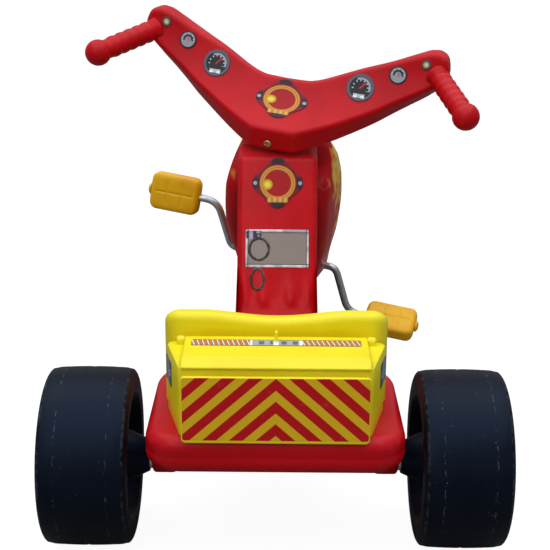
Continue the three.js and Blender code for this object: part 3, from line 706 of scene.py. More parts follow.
def scuff_group() -> bpy.types.NodeTree:
    """Scuffs: short scratches and specks as a mask, more of them where Amount is larger."""
    wiring, given, out = shader_group(
        "scuffs",
        {"Vector": (0.0, 0.0, 0.0), "Amount": 0.3, "Size": 60.0},
        {"Mask": "NodeSocketFloat"},
    )
    specks = wiring.node("ShaderNodeTexVoronoi", feature="F1")
    wiring.feed(specks.inputs["Vector"], given["Vector"])
    wiring.feed(specks.inputs["Scale"], wiring.math("MULTIPLY", given["Size"], 3.0))
    patch = wiring.noise(given["Vector"], given["Size"], 4.0)
    scratch = wiring.noise(given["Vector"], 1.0, 5.0, (90.0, 520.0, 160.0))
    amount = Signal(wiring, given["Amount"])
    worn = wiring.span(patch + amount * 0.35, 0.62, 0.72)
    dot = 1.0 - wiring.span(Signal(wiring, specks.outputs["Distance"]), 0.1, 0.26)
    line = wiring.span(scratch + amount * 0.1, 0.66, 0.72)
    wiring.feed(out["Mask"], dot.either(line) * worn)
    return wiring.tree


def wear_group() -> bpy.types.NodeTree:
    """Edge wear: a mask along outer edges, broken up by noise."""
    wiring, given, out = shader_group(
        "edge_wear",
        {"Vector": (0.0, 0.0, 0.0), "Pointiness": 0.5, "Strength": 0.5},
        {"Mask": "NodeSocketFloat"},
    )
    edge = wiring.span(Signal(wiring, given["Pointiness"]), 0.51, 0.56)
    broken = wiring.span(wiring.noise(given["Vector"], 140.0, 4.0), 0.42, 0.68)
    wiring.feed(out["Mask"], wiring.math("MULTIPLY", edge * broken, given["Strength"]))
    return wiring.tree


def dust_group() -> bpy.types.NodeTree:
    """Dust: a mask on faces that look up, in soft patches."""
    wiring, given, out = shader_group(
        "dust",
        {"Vector": (0.0, 0.0, 0.0), "Normal": (0.0, 0.0, 1.0), "Strength": 0.2},
        {"Mask": "NodeSocketFloat"},
    )
    parts = wiring.node("ShaderNodeSeparateXYZ")
    wiring.feed(parts.inputs[0], given["Normal"])
    up = wiring.span(Signal(wiring, parts.outputs[2]), 0.25, 1.0)
    patch = wiring.span(wiring.noise(given["Vector"], 14.0, 5.0), 0.35, 0.75)
    wiring.feed(out["Mask"], wiring.math("MULTIPLY", up * patch, given["Strength"]))
    return wiring.tree


GROUPS = {"grain": grain_group(), "scuffs": scuff_group(), "wear": wear_group(), "dust": dust_group()}


def blank(name: str) -> tuple[Material, Wiring, Node]:
    """A new material with a Principled BSDF, its wiring and that shader."""
    material = bpy.data.materials.new(name)
    material.use_nodes = True
    wiring = Wiring(material.node_tree)
    shader = next(n for n in material.node_tree.nodes if n.type == "BSDF_PRINCIPLED")
    return material, wiring, shader



def opaque(colour: Colour) -> tuple[float, float, float, float]:
    """A colour with full alpha."""
    return (*colour, 1.0)


# --- finishes


@dataclass(frozen=True)
class Plastic:
    """A moulded plastic.

    Attributes:
        name: the material's name.
        colour: its linear colour.
        deep: the colour in the darker parts of its mottle.
        rough: roughness.
        coat: weight of the clear gloss over it.
        coat_rough: roughness of that gloss.
        grain: fineness of the moulded grain, in turns a metre.
        relief: height of the grain, in metres.
        scuffed: how much of it is scuffed.
        scuff: colour of a scuff.
        dust: weight of the dust on faces that look up.
        worn: weight of the wear on outer edges.
        shine: specular level.
        tint: colour of its highlights.
    """

    name: str
    colour: Colour
    deep: Colour
    rough: float = 0.32
    coat: float = 0.25
    coat_rough: float = 0.12
    grain: float = 900.0
    relief: float = 0.00018
    scuffed: float = 0.1
    scuff: Colour = (0.8, 0.76, 0.74)
    dust: float = 0.06
    worn: float = 0.3
    shine: float = 0.4
    tint: Colour = (1.0, 1.0, 1.0)

    def dress(self) -> tuple[Material, Wiring, Node, Socket]:
        """Builds the material up to its colour.

        Returns:
            The material, its wiring, its shader, and the colour that is fed to it.
        """
        material, wiring, shader = blank(self.name)
        where = wiring.coordinates()
        geometry = wiring.node("ShaderNodeNewGeometry")
        grain = wiring.use(GROUPS["grain"], Vector=where, Grain=self.grain)
        scuffs = wiring.use(GROUPS["scuffs"], Vector=where, Amount=self.scuffed)
        edge = geometry.outputs["Pointiness"]
        wear = wiring.use(GROUPS["wear"], Vector=where, Pointiness=edge, Strength=self.worn)
        dust = wiring.use(GROUPS["dust"], Vector=where, Normal=geometry.outputs["Normal"], Strength=self.dust)
        colour = wiring.paint(grain.outputs["Mottle"], opaque(self.deep), opaque(self.colour))
        marks = Signal(wiring, scuffs.outputs["Mask"]) * min(1.0, self.scuffed * 2)
        colour = wiring.paint(marks.either(Signal(wiring, wear.outputs["Mask"])), colour, opaque(self.scuff))
        colour = wiring.paint(dust.outputs["Mask"], colour, (0.72, 0.68, 0.62, 1.0))
        wiring.feed(shader.inputs["Base Color"], colour)
        mottle, dusty = Signal(wiring, grain.outputs["Mottle"]), Signal(wiring, dust.outputs["Mask"])
        rough = marks * 0.3 + mottle * 0.05 + dusty * 0.5
        wiring.feed(shader.inputs["Roughness"], rough + self.rough)
        wiring.fill(
            shader, Coat_Weight=self.coat, Coat_Roughness=self.coat_rough,
            Specular_IOR_Level=self.shine, Specular_Tint=opaque(self.tint),
        )
        wiring.emboss(shader, grain.outputs["Height"], self.relief)
        return material, wiring, shader, colour

    @cache
    def material(self) -> Material:
        """The material."""
        return self.dress()[0]


@dataclass(frozen=True)
class Metal:
    """A plated metal with fine streaks and dull patches.

    Attributes:
        name: the material's name.
        colour: its linear colour.
        dull: the colour of its dull patches.
        rough: roughness.
        streak: stretch of the streaks along X, Y and Z.
    """

    name: str
    colour: Colour
    dull: Colour
    rough: float = 0.32
    streak: Triple = (18.0, 260.0, 260.0)

    @cache
    def material(self) -> Material:
        """The material."""
        material, wiring, shader = blank(self.name)
        where = wiring.coordinates()
        spangle = wiring.node("ShaderNodeTexVoronoi", feature="F1")
        wiring.feed(spangle.inputs["Vector"], where)
        spangle.inputs["Scale"].default_value = 130.0
        streak = wiring.noise(where, 1.0, 4.0, self.streak)
        patch = wiring.span(wiring.noise(where, 46.0, 5.0), 0.4, 0.66)
        cell = wiring.node("ShaderNodeSeparateXYZ")
        wiring.feed(cell.inputs[0], spangle.outputs["Color"])
        flake = Signal(wiring, cell.outputs[0])
        mask = patch * 0.6 + flake * 0.4
        wiring.feed(shader.inputs["Base Color"], wiring.paint(mask, opaque(self.colour), opaque(self.dull)))
        shader.inputs["Metallic"].default_value = 0.92
        wiring.feed(shader.inputs["Roughness"], streak * 0.16 + patch * 0.12 + (self.rough - 0.08))
        wiring.emboss(shader, streak + flake * 0.3, 0.00008)
        return material


@dataclass(frozen=True)
class Sticker:
    """A printed film: layers of colour on a ground, each where a mask of its own UV map says.

    Attributes:
        name: the material's name.
        ground: the colour under everything.
        layers: makes the layers from the wiring and the two UV coordinates, each a mask and its colour.
        rough: roughness.
        shine: specular level.
    """

    name: str
    ground: Colour
    layers: Callable[[Wiring, Signal, Signal], Iterable[tuple[Signal, Colour]]]
    rough: float = 0.4
    shine: float = 0.22

    @cache
    def material(self) -> Material:
        """The material."""
        material, wiring, shader = blank(self.name)
        u, v = wiring.map()
        colour: object = opaque(self.ground)
        for mask, over in self.layers(wiring, u, v):
            colour = wiring.paint(mask, colour, opaque(over))
        where = wiring.coordinates()
        rub = wiring.span(wiring.noise(where, 90.0, 6.0), 0.6, 0.85) * 0.08
        colour = wiring.paint(rub, colour, (0.55, 0.5, 0.46, 1.0))
        wiring.feed(shader.inputs["Base Color"], colour)
        wiring.feed(shader.inputs["Roughness"], rub + self.rough)
        shader.inputs["Specular IOR Level"].default_value = self.shine
        wiring.emboss(shader, wiring.noise(where, 260.0, 2.0), 0.00006)
        return material


INK = (0.022, 0.022, 0.03)
PEWTER = (0.15, 0.15, 0.19)
GOLD = (0.66, 0.33, 0.05)


def polar(wiring: Wiring, u: Signal, v: Signal, at: Pair = (0.5, 0.5)) -> tuple[Signal, Signal]:
    """Distance from a point of the map, where 0.5 is half its width, and the angle round it in radians."""
    x, y = u - at[0], v - at[1]
    return (x * x + y * y).root(), wiring.math("ARCTAN2", y, x)


def chevrons(wiring: Wiring, u: Signal, v: Signal) -> Iterable[tuple[Signal, Colour]]:
    """Red chevrons that point up: bands of |x| + y, at the panel's own proportions."""
    aspect, pitch = 205 / 74, 0.362
    slope = (u - 0.5).size() * (aspect * 0.915) + (v - 1.0)
    yield ((slope * (1 / pitch) + 4.53).part()).within(0.0, 0.53, 0.012), (0.58, 0.006, 0.010)


def dial(wiring: Wiring, u: Signal, v: Signal) -> Iterable[tuple[Signal, Colour]]:
    """A dial: pewter rim, dark face, ticks, a pale arc, a red needle and a pale counter."""
    radius, angle = polar(wiring, u, v)
    yield radius.over(0.40, 0.01), PEWTER
    yield radius.over(0.455, 0.01), (0.09, 0.09, 0.13)
    upper = (v - 0.5).over(-0.1, 0.02)
    yield radius.within(0.30, 0.37, 0.01) * upper * (u - 0.5).over(-0.16, 0.03), (0.42, 0.45, 0.52)
    ticks = (angle * 12.0).wave().over(0.72, 0.1) * radius.within(0.24, 0.30, 0.01) * upper
    yield ticks, (0.7, 0.7, 0.72)
    needle = ((u - 0.5) * 0.78 - (v - 0.5) * 0.62).size()
    towards = ((u - 0.5) * 0.62 + (v - 0.5) * 0.78).within(-0.05, 0.26, 0.01)
    yield needle.under(0.026, 0.01) * towards, (0.62, 0.03, 0.05)
    counter = (u - 0.5).size().under(0.2, 0.01) * (v - 0.2).size().under(0.07, 0.01)
    digits = (u * 22.0).wave().over(-0.1, 0.25) * (v * 46.0).wave().over(-0.55, 0.3)
    yield counter, (0.5, 0.52, 0.56)
    yield counter * digits, (0.9, 0.9, 0.9)


def small_dial(wiring: Wiring, u: Signal, v: Signal) -> Iterable[tuple[Signal, Colour]]:
    """A smaller dial: dark rim, grey face, a dark arc with ticks and a short needle."""
    radius, angle = polar(wiring, u, v)
    yield radius.over(0.42, 0.012), INK
    upper = (v - 0.5).over(-0.04, 0.02)
    yield radius.within(0.18, 0.31, 0.015) * upper, (0.05, 0.05, 0.06)
    yield (angle * 9.0).wave().over(0.6, 0.15) * radius.within(0.31, 0.37, 0.012) * upper, (0.78, 0.78, 0.8)
    yield (u - 0.53).size().under(0.025, 0.01) * (v - 0.42).within(0.0, 0.2, 0.01), (0.55, 0.05, 0.06)


def lamp(wiring: Wiring, u: Signal, v: Signal) -> Iterable[tuple[Signal, Colour]]:
    """A warning lamp: dark rim and a pale middle."""
    radius, _ = polar(wiring, u, v)
    yield radius.over(0.29, 0.04), (0.10, 0.09, 0.03)
    yield radius.over(0.40, 0.015), (0.16, 0.05, 0.06)
    yield radius.under(0.13, 0.05), (0.9, 0.86, 0.35)


def badge(wiring: Wiring, u: Signal, v: Signal) -> Iterable[tuple[Signal, Colour]]:
    """A plain badge: dark lobes, a gold ring and a red field with a pale boss on one side."""
    radius, angle = polar(wiring, u, v)
    yield radius.over(0.365, 0.01), (0.045, 0.02, 0.035)
    yield radius.over(0.385, 0.01) * (angle * 2.0).wave().size().over(0.55, 0.1), (0.26, 0.012, 0.016)
    knob = (u - 0.5).size() - 0.44
    yield (knob * knob + (v - 0.5) * (v - 0.5)).root().under(0.038, 0.01), (0.42, 0.42, 0.48)
    yield radius.within(0.265, 0.345, 0.01), GOLD
    yield radius.within(0.30, 0.312, 0.006), (0.50, 0.10, 0.02)
    boss, _ = polar(wiring, u, v, (0.30, 0.47))
    yield boss.under(0.10, 0.01), (0.60, 0.40, 0.03)
    yield boss.under(0.06, 0.012), (0.86, 0.70, 0.07)
    base = (u - 0.5).size().under(0.2, 0.01) * (v - 0.17).size().under(0.045, 0.01)
    yield base, (0.58, 0.26, 0.05)
    yield base * (u * 60.0).wave().over(0.2, 0.2), (0.72, 0.45, 0.10)


def name_plate(wiring: Wiring, u: Signal, v: Signal) -> Iterable[tuple[Signal, Colour]]:
    """A grey plate in a bright frame that shades from corner to corner."""
    frame_band = (u - 0.5).size().over(0.468, 0.004).either((v - 0.5).size().over(0.432, 0.006))
    yield frame_band, (0.46, 0.45, 0.55)
    shade = wiring.span(wiring.noise(wiring.coordinates(), 60.0, 1.0), 0.4, 0.62)
    yield frame_band * shade, (0.82, 0.80, 0.84)
    upright, level = (u - 0.5).size(), (v - 0.5).size()
    yield upright.within(0.455, 0.468, 0.003) + level.within(0.408, 0.43, 0.004), (0.10, 0.08, 0.09)
    corner = (u - 0.13).size().under(0.12, 0.01) * (v - 0.86).size().under(0.10, 0.02)
    yield corner, (0.42, 0.40, 0.58)
    yield corner * (u * 55.0).wave().over(0.1, 0.3), (0.06, 0.04, 0.09)


def warning_strip(wiring: Wiring, u: Signal, v: Signal) -> Iterable[tuple[Signal, Colour]]:
    """A lamp bar: slanted dark and orange hatching at both ends and pale lamps in the middle."""
    hatch = (u * 34.0 + v * 0.7).part()
    yield hatch.within(0.0, 0.5, 0.06), (0.62, 0.17, 0.04)
    yield hatch.within(0.62, 0.9, 0.06), (0.80, 0.78, 0.74)
    middle = (u - 0.5).size().under(0.155, 0.003)
    yield middle, (0.40, 0.40, 0.42)
    lamps = (u * 95.0).wave().over(0.1, 0.3) * (v - 0.5).size().under(0.28, 0.05)
    yield middle * lamps, (0.12, 0.13, 0.16)
    yield middle * (u * 41.0).wave().over(0.8, 0.1), (0.85, 0.85, 0.86)
    yield (v - 0.5).size().over(0.42, 0.03), (0.09, 0.07, 0.08)


def locker(wiring: Wiring, u: Signal, v: Signal) -> Iterable[tuple[Signal, Colour]]:
    """A side locker: dark rim, pale shutter with slats, and a round gauge."""
    yield ((u - 0.5).size().over(0.4, 0.01)).either((v - 0.5).size().over(0.42, 0.01)), (0.03, 0.03, 0.05)
    slats = (v * 62.0).wave().over(0.0, 0.2) * (u - 0.62).size().under(0.2, 0.01)
    yield slats, (0.50, 0.52, 0.60)
    gauge, _ = polar(wiring, u, v, (0.28, 0.5))
    yield gauge.under(0.13, 0.01), (0.78, 0.78, 0.82)
    yield gauge.under(0.07, 0.01), (0.05, 0.05, 0.12)


RED = Plastic(
    "red_moulded", (0.58, 0.002, 0.007), (0.51, 0.0015, 0.005), rough=0.36, coat=0.03, scuffed=0.03,
    worn=0.05, dust=0.02, shine=0.19, tint=(0.9, 0.92, 1.0),
)
YELLOW = Plastic(
    "yellow_moulded", (0.93, 0.79, 0.012), (0.90, 0.74, 0.008), rough=0.36, coat=0.05, scuffed=0.02,
    worn=0.0, dust=0.01, shine=0.3,
)
BLACK = Plastic(
    "black_moulded", (0.006, 0.007, 0.011), (0.004, 0.0045, 0.008), rough=0.42, coat=0.0, scuffed=0.1,
    scuff=(0.2, 0.22, 0.26), dust=0.0, worn=0.2, shine=0.2,
)


@dataclass(frozen=True)
class TreadPlastic(Plastic):
    """The wheels' black plastic, with pale rubs along the mould seams.

    Attributes:
        seams: where the seams are, as shares of the tread's width.
    """

    seams: tuple[float, ...] = (0.215, 0.785)

    @cache
    def material(self) -> Material:
        """The material: dashes along each seam, where stretched noise is high."""
        material, wiring, shader, colour = self.dress()
        across_tread, _ = wiring.map()
        where = wiring.coordinates()
        broken = wiring.span(wiring.noise(where, 1.0, 5.0, (420.0, 130.0, 130.0)), 0.53, 0.6)
        for seam in self.seams:
            off = (across_tread - seam).size()
            thin, wide = off.under(0.006, 0.004), off.under(0.028, 0.02)
            specks = wiring.span(wiring.noise(where, 520.0, 3.0), 0.62, 0.68) * wide * broken
            colour = wiring.paint((thin * broken * 0.15).either(specks * 0.4), colour, opaque(self.scuff))
        wiring.feed(shader.inputs["Base Color"], colour)
        return material


TREAD = TreadPlastic(
    "black_tread", (0.0030, 0.0036, 0.0062), (0.0022, 0.0026, 0.0045), rough=0.43, coat=0.0,
    relief=0.0003, scuffed=0.05,
    scuff=(0.30, 0.33, 0.40), dust=0.0, worn=0.25, shine=0.24, tint=(0.35, 0.55, 1.0),
)
AMBER = Plastic(
    "amber_moulded", (0.93, 0.50, 0.002), (0.88, 0.40, 0.001), rough=0.36, coat=0.04, scuffed=0.03,
    worn=0.05, shine=0.28,
)
NYLON = Plastic("nylon_natural", (0.72, 0.69, 0.62), (0.62, 0.60, 0.52), rough=0.5, coat=0.0, scuffed=0.1)
ZINC = Metal("zinc_plated", (0.62, 0.64, 0.67), (0.42, 0.44, 0.47))
BRASS = Metal("brass_plated", (0.62, 0.44, 0.20), (0.40, 0.30, 0.14), rough=0.4)


def flamed(base: Plastic) -> Material:
    """The red plastic with printed flames that rise from the legs' fronts.

    Tongues are bands of height up the leg less a wave along it, broken up by noise; a larger value is hotter.
    """
    material, wiring, shader, colour = base.dress()
    material.name = "red_flamed"
    u, v = wiring.map()
    where = wiring.coordinates()
    stir = wiring.noise(where, 26.0, 2.0) - 0.5
    spots = wiring.span(wiring.noise(where, 1.0, 1.0, (70.0, 70.0, 46.0)), 0.36, 0.6)
    tongues = (v * 21.0 + stir * 5.0).wave() * 0.12 + (v * 47.0 + stir * 8.0).wave() * 0.05
    heat = (u + tongues + stir * 0.3) * (spots * 0.5 + 0.62)
    colour = wiring.paint(heat.over(0.46, 0.03), colour, (0.72, 0.07, 0.02, 1.0))
    colour = wiring.paint(heat.over(0.54, 0.04), colour, (0.80, 0.24, 0.03, 1.0))
    colour = wiring.paint(heat.over(0.64, 0.05), colour, (0.88, 0.46, 0.03, 1.0))
    colour = wiring.paint(heat.over(0.92, 0.07), colour, (0.90, 0.66, 0.16, 1.0))
    wiring.feed(shader.inputs["Base Color"], colour)
    return material

# --- sub-assemblies


@dataclass
class Chassis:
    """The red frame: tray, beam and neck, steering head and axle bosses.

    Attributes:
        place: the frame of the fixed pieces.
        steer: the steering frame.
        tray: half width, rear, front, bottom and top of the tray.
        narrow: half width of the tray's front edge, and Y where the sides start to draw in.
        rolled: radii of its lower and upper edges.
        groove: foot, height and depth of the groove round its skirt.
        neck: half width of the neck at its top and foot.
        foot: Y and Z of the neck's rear face at the beam.
        crest: the same face's top, ahead of and along the steering axis.
        rib: height of the ribs at the neck's foot.
        head: the head's radius, and its foot and top along the steering axis.
        boss: an axle boss's radius, its inner and outer faces, and the axle's height.
    """

    place: Place
    steer: Place
    tray: tuple[float, float, float, float, float] = (148.0, -118.0, 212.0, 140.0, 186.0)
    narrow: Pair = (80.0, 70.0)
    rolled: Pair = (17.0, 14.0)
    groove: Triple = (158.0, 10.0, 0.5)
    neck: Pair = (58.0, 57.0)
    foot: Pair = (300.0, 206.0)
    crest: Pair = (-43.0, 267.5)
    rib: float = 4.6
    head: Triple = (36.0, 224.6, 267.0)
    boss: tuple[float, float, float, float] = (20.0, 116.0, 148.5, 107.5)

    def tray_skin(self) -> Skin:
        """The tray: a six-cornered outline carried up a bulging edge, with a shallow groove round its skirt.

        The inset at a height is a quarter circle's at both edges and a squared sine's along the groove.
        """
        wide, rear, front, low, high = self.tray
        nose, waist = self.narrow
        corners = [(-wide, rear), (wide, rear), (wide, waist), (nose, front), (-nose, front), (-wide, waist)]
        under, over = self.rolled
        foot, span, depth = self.groove
        angle = np.linspace(0, math.pi / 2, 10)
        band = np.linspace(low + under, high - over, 17)[1:-1]
        groove = depth * np.sin(math.pi * np.clip((band - foot) / span, 0, 1)) ** 2
        upward, onward = 1 - np.cos(angle), 1 - np.sin(angle)
        heights = np.concatenate([[low], low + under * upward, band, high - over * onward, [high]])
        insets = np.concatenate([[under + 1.5], under * onward, groove, over * upward, [over + 1.5]])
        return Skin(slab_rings(corners, [40, 40, 60, 30, 30, 60], (heights, insets), arc=10, edge=6))

    def neck_skin(self) -> Skin:
        """Beam and neck: the side view's outline carried across, rounded at both sides.

        The rear face is pushed out along its normal by the swell.
        """
        side = [
            (152, 131), (326, 113), (366, 159), (384, 255), self.beside(-40.5, 224.6), self.beside(0, 224.6),
            self.beside(0, 267), self.beside(*self.crest), self.foot, (276, 170), (152, 170),
        ]
        radius = [10, 30, 50, 60, 14, 10, 10, 14, 40, 36, 10]
        half, over = self.neck[0], 9.0
        angle = np.linspace(0, math.pi / 2, 8)
        left = np.concatenate([[-half], -half + over * (1 - np.cos(angle))])
        inset_left = np.concatenate([[over + 1.5], over * (1 - np.sin(angle))])
        middle = np.linspace(-half + over, half - over, 45)[1:-1]
        stations = np.concatenate([left, middle, -left[::-1]])
        insets = np.concatenate([inset_left, np.zeros(len(middle)), inset_left[::-1]])
        rings = across(slab_rings(side, radius, (stations, insets), arc=7, edge=14))
        x, y, z = np.moveaxis(rings, -1, 0)
        slope = (self.beside(*self.crest)[0] - self.foot[0]) / (self.beside(*self.crest)[1] - self.foot[1])
        rear = eased(y, 268, 292) * (1 - eased(y - slope * (z - self.foot[1]), 304, 330)) * eased(z, 192, 206)
        lift = self.swell(x, z) * rear
        rings[..., 1] -= lift
        rings[..., 2] += lift * slope
        foot = (1 - eased(z, 190, 330)) * (half - self.neck[1])
        rings[..., 0] -= np.sign(x) * foot * (np.abs(x) / half)
        return Skin(rings, sharp=50)

    def swell(self, x: Grid, z: Grid) -> Grid:
        """How far the rear face stands out: a parabola across X, and ribs at the foot, two of them fainter.

        Each rib is a bell across X that fades up the neck by a smooth step.
        """
        crown = 2.2 * (1 - (x / self.neck[0]) ** 2) * eased(z, 214, 262)
        bells = np.exp(-(((np.abs(x) - 20) / 8.5) ** 2)) + 0.45 * np.exp(-(((np.abs(x) - 45) / 4.5) ** 2))
        return crown + self.rib * bells * (1 - eased(z, 206, 243))

    def beside(self, ahead: float, along: float) -> Pair:
        """Side view (Y, Z) of a point ahead of and along the steering axis, straight ahead."""
        up = self.steer.axes[2]
        base = (self.steer.origin - self.place.origin)[1:]
        return tuple(base + ahead * np.array([up[2], -up[1]]) + along * np.array([up[1], up[2]]))

    def head_place(self) -> Place:
        """The head's frame: X up the steering axis, not turned by the steering."""
        up = self.steer.axes[2]
        return Place(self.steer.origin, np.array([up, [1, 0, 0], np.cross(up, [1, 0, 0])]))

    def head_skin(self) -> Skin:
        """The steering head: a tube round the axis with rounded rims, open for its bushes."""
        radius, low, high = self.head
        points = [(low, 14), (low, radius), (high, radius), (high, 14), (high - 12, 12.4), (low + 12, 12.4)]
        ring = np.array([*points, points[0]], float)
        shape = np.vstack([ring[0], filleted(ring, [4, 4, 1, 0.5, 0.5])[1:-1]])
        return Skin(turned(dense(shape, 5), 64), loop=True)

    def boss_skin(self, side: Side) -> Skin:
        """An axle boss: a rounded lobe below the tray that thickens into its web."""
        radius, inner, outer, axle = self.boss
        lobe = [(-radius, axle - radius), (radius, axle - radius), (radius + 3, 160), (-radius - 3, 160)]
        heights, insets = edge_profile(inner, outer, 9, 5, 7)
        rings = across(slab_rings(lobe, [19, 19, 3, 3], (heights, insets), arc=9, edge=5))
        rings[..., 0] *= side.value
        return Skin(rings)

    def build(self) -> None:
        """Makes the frame's pieces."""
        red = RED.material()
        fit("frame_tray", [self.tray_skin()], self.place, red, Body.FRAME, Slot.RED, ["chassis"])
        fit("frame_neck", [self.neck_skin()], self.place, red, Body.FRAME, Slot.RED)
        fit("frame_head", [self.head_skin()], self.head_place(), red, Body.FRAME, Slot.RED)
        lobes = [self.boss_skin(side) for side in Side]
        fit("frame_axle_bosses", lobes, self.place, red, Body.FRAME, Slot.RED)


@dataclass
class Seat:
    """The yellow seat pan with its bolsters, and the high backrest.

    Attributes:
        place: the frame of the fixed pieces.
        half_width: half the backrest's width.
        rear: its rear face.
        thickness: how thick it is.
        foot: underside.
        top: its top corners.
        dip: how far its top edge dips in the middle.
        front: the pan's front edge.
        end: how far from each end the backrest starts to curve forwards.
        dish: how far the pan's bolsters rise, its front drops and its rear rises.
    """

    place: Place
    half_width: float = 130.0
    rear: float = -26.0
    thickness: float = 26.0
    foot: float = 186.25
    top: float = 300.0
    dip: float = 7.0
    front: float = 204.0
    end: float = 20.0
    dish: Triple = (15.0, 5.0, 7.0)

    def backrest_skin(self) -> Skin:
        """The backrest: sections along X, each a rounded upright slab.

        The top follows a wide cosine dip, both ends curve forwards and down by quarter ellipses, and the rear
        face is pressed in by a shallow field whose edge is a smooth step.
        """
        half = self.half_width
        angle = np.linspace(0, math.pi / 2, 12)
        end = half - self.end * (1 - np.sin(angle))
        x = np.concatenate([-end[::-1], np.linspace(-end[0], end[0], 55)[1:-1], end])
        turn = np.clip((np.abs(x) - (half - self.end)) / self.end, 0, 1)
        bow = 1 - np.sqrt(1 - turn**2)
        rear = self.rear + self.end * bow
        front = self.rear + self.thickness - 1.5 * bow
        crest = self.top - self.dip * np.cos(np.clip(x / 84, -1, 1) * math.pi / 2) ** 1.5 - 16 * bow
        low = np.full_like(x, self.foot)
        corners = section((rear, low), (front, low), (front, crest), (rear, crest))
        radii = np.stack([3 - 0 * x, 3 - 0 * x, 11 - 5 * bow, 9 - 4 * bow], axis=1)
        flat = rounded(corners, radii, arc=7, edge=9)
        rings = np.concatenate([np.repeat(x[:, None, None], flat.shape[1], axis=1), flat], axis=2)
        field = (1 - eased(np.abs(rings[..., 0]), 62, 108)) * (1 - eased(rings[..., 2], 268, 290))
        rings[..., 1] += 4.0 * field * (rings[..., 1] < self.rear + 8)
        return Skin(rings, sharp=55)

    def pan_skin(self) -> Skin:
        """The pan: an outline shrunk towards its middle, with a height that depends on the distance from it.

        The seat is dished between raised bolsters: the height is a smooth step across X, and it rolls off at
        the outer edge by a quarter circle.
        """
        half, nose = self.half_width - 4, 76
        plan = [(-half, -4), (half, -4), (half, 60), (nose, self.front), (-nose, self.front), (-half, 60)]
        radii = np.array([[6, 6, 70, 40, 40, 70]], float)
        outline = rounded(np.array([plan], float), radii, arc=12, edge=10)[0]
        middle = np.array([0.0, 90.0])
        rim = [0.5, 0.985, 0.998, 1.0, 1.0, 0.997, 0.985, 0.965]
        shrink = np.concatenate([rim, np.linspace(0.93, 0.02, 26)])
        shape = middle + (outline - middle) * shrink[:, None, None]
        x, y = shape[..., 0], shape[..., 1]
        bolster, nose_drop, back_rise = self.dish
        pan = self.foot + 14 + bolster * eased(np.abs(x), 62, 100)
        pan = pan - nose_drop * eased(y, 120, self.front) + back_rise * (1 - eased(y, 2, 40))
        drop = np.array([0, 0, 0, 2.0, 8.0, 3.0, 1.0, 0.2, *np.zeros(26)])
        z = pan - drop[:, None]
        z[:3] = self.foot
        z[3] = self.foot + 2.5
        return Skin(np.stack([x, y, z], axis=-1), sharp=60)

    def build(self) -> None:
        """Makes the backrest and the pan."""
        yellow = YELLOW.material()
        fit("seat_backrest", [self.backrest_skin()], self.place, yellow, Body.FRAME, Slot.YELLOW, ["seat"])
        fit("seat_pan", [self.pan_skin()], self.place, yellow, Body.FRAME, Slot.YELLOW)


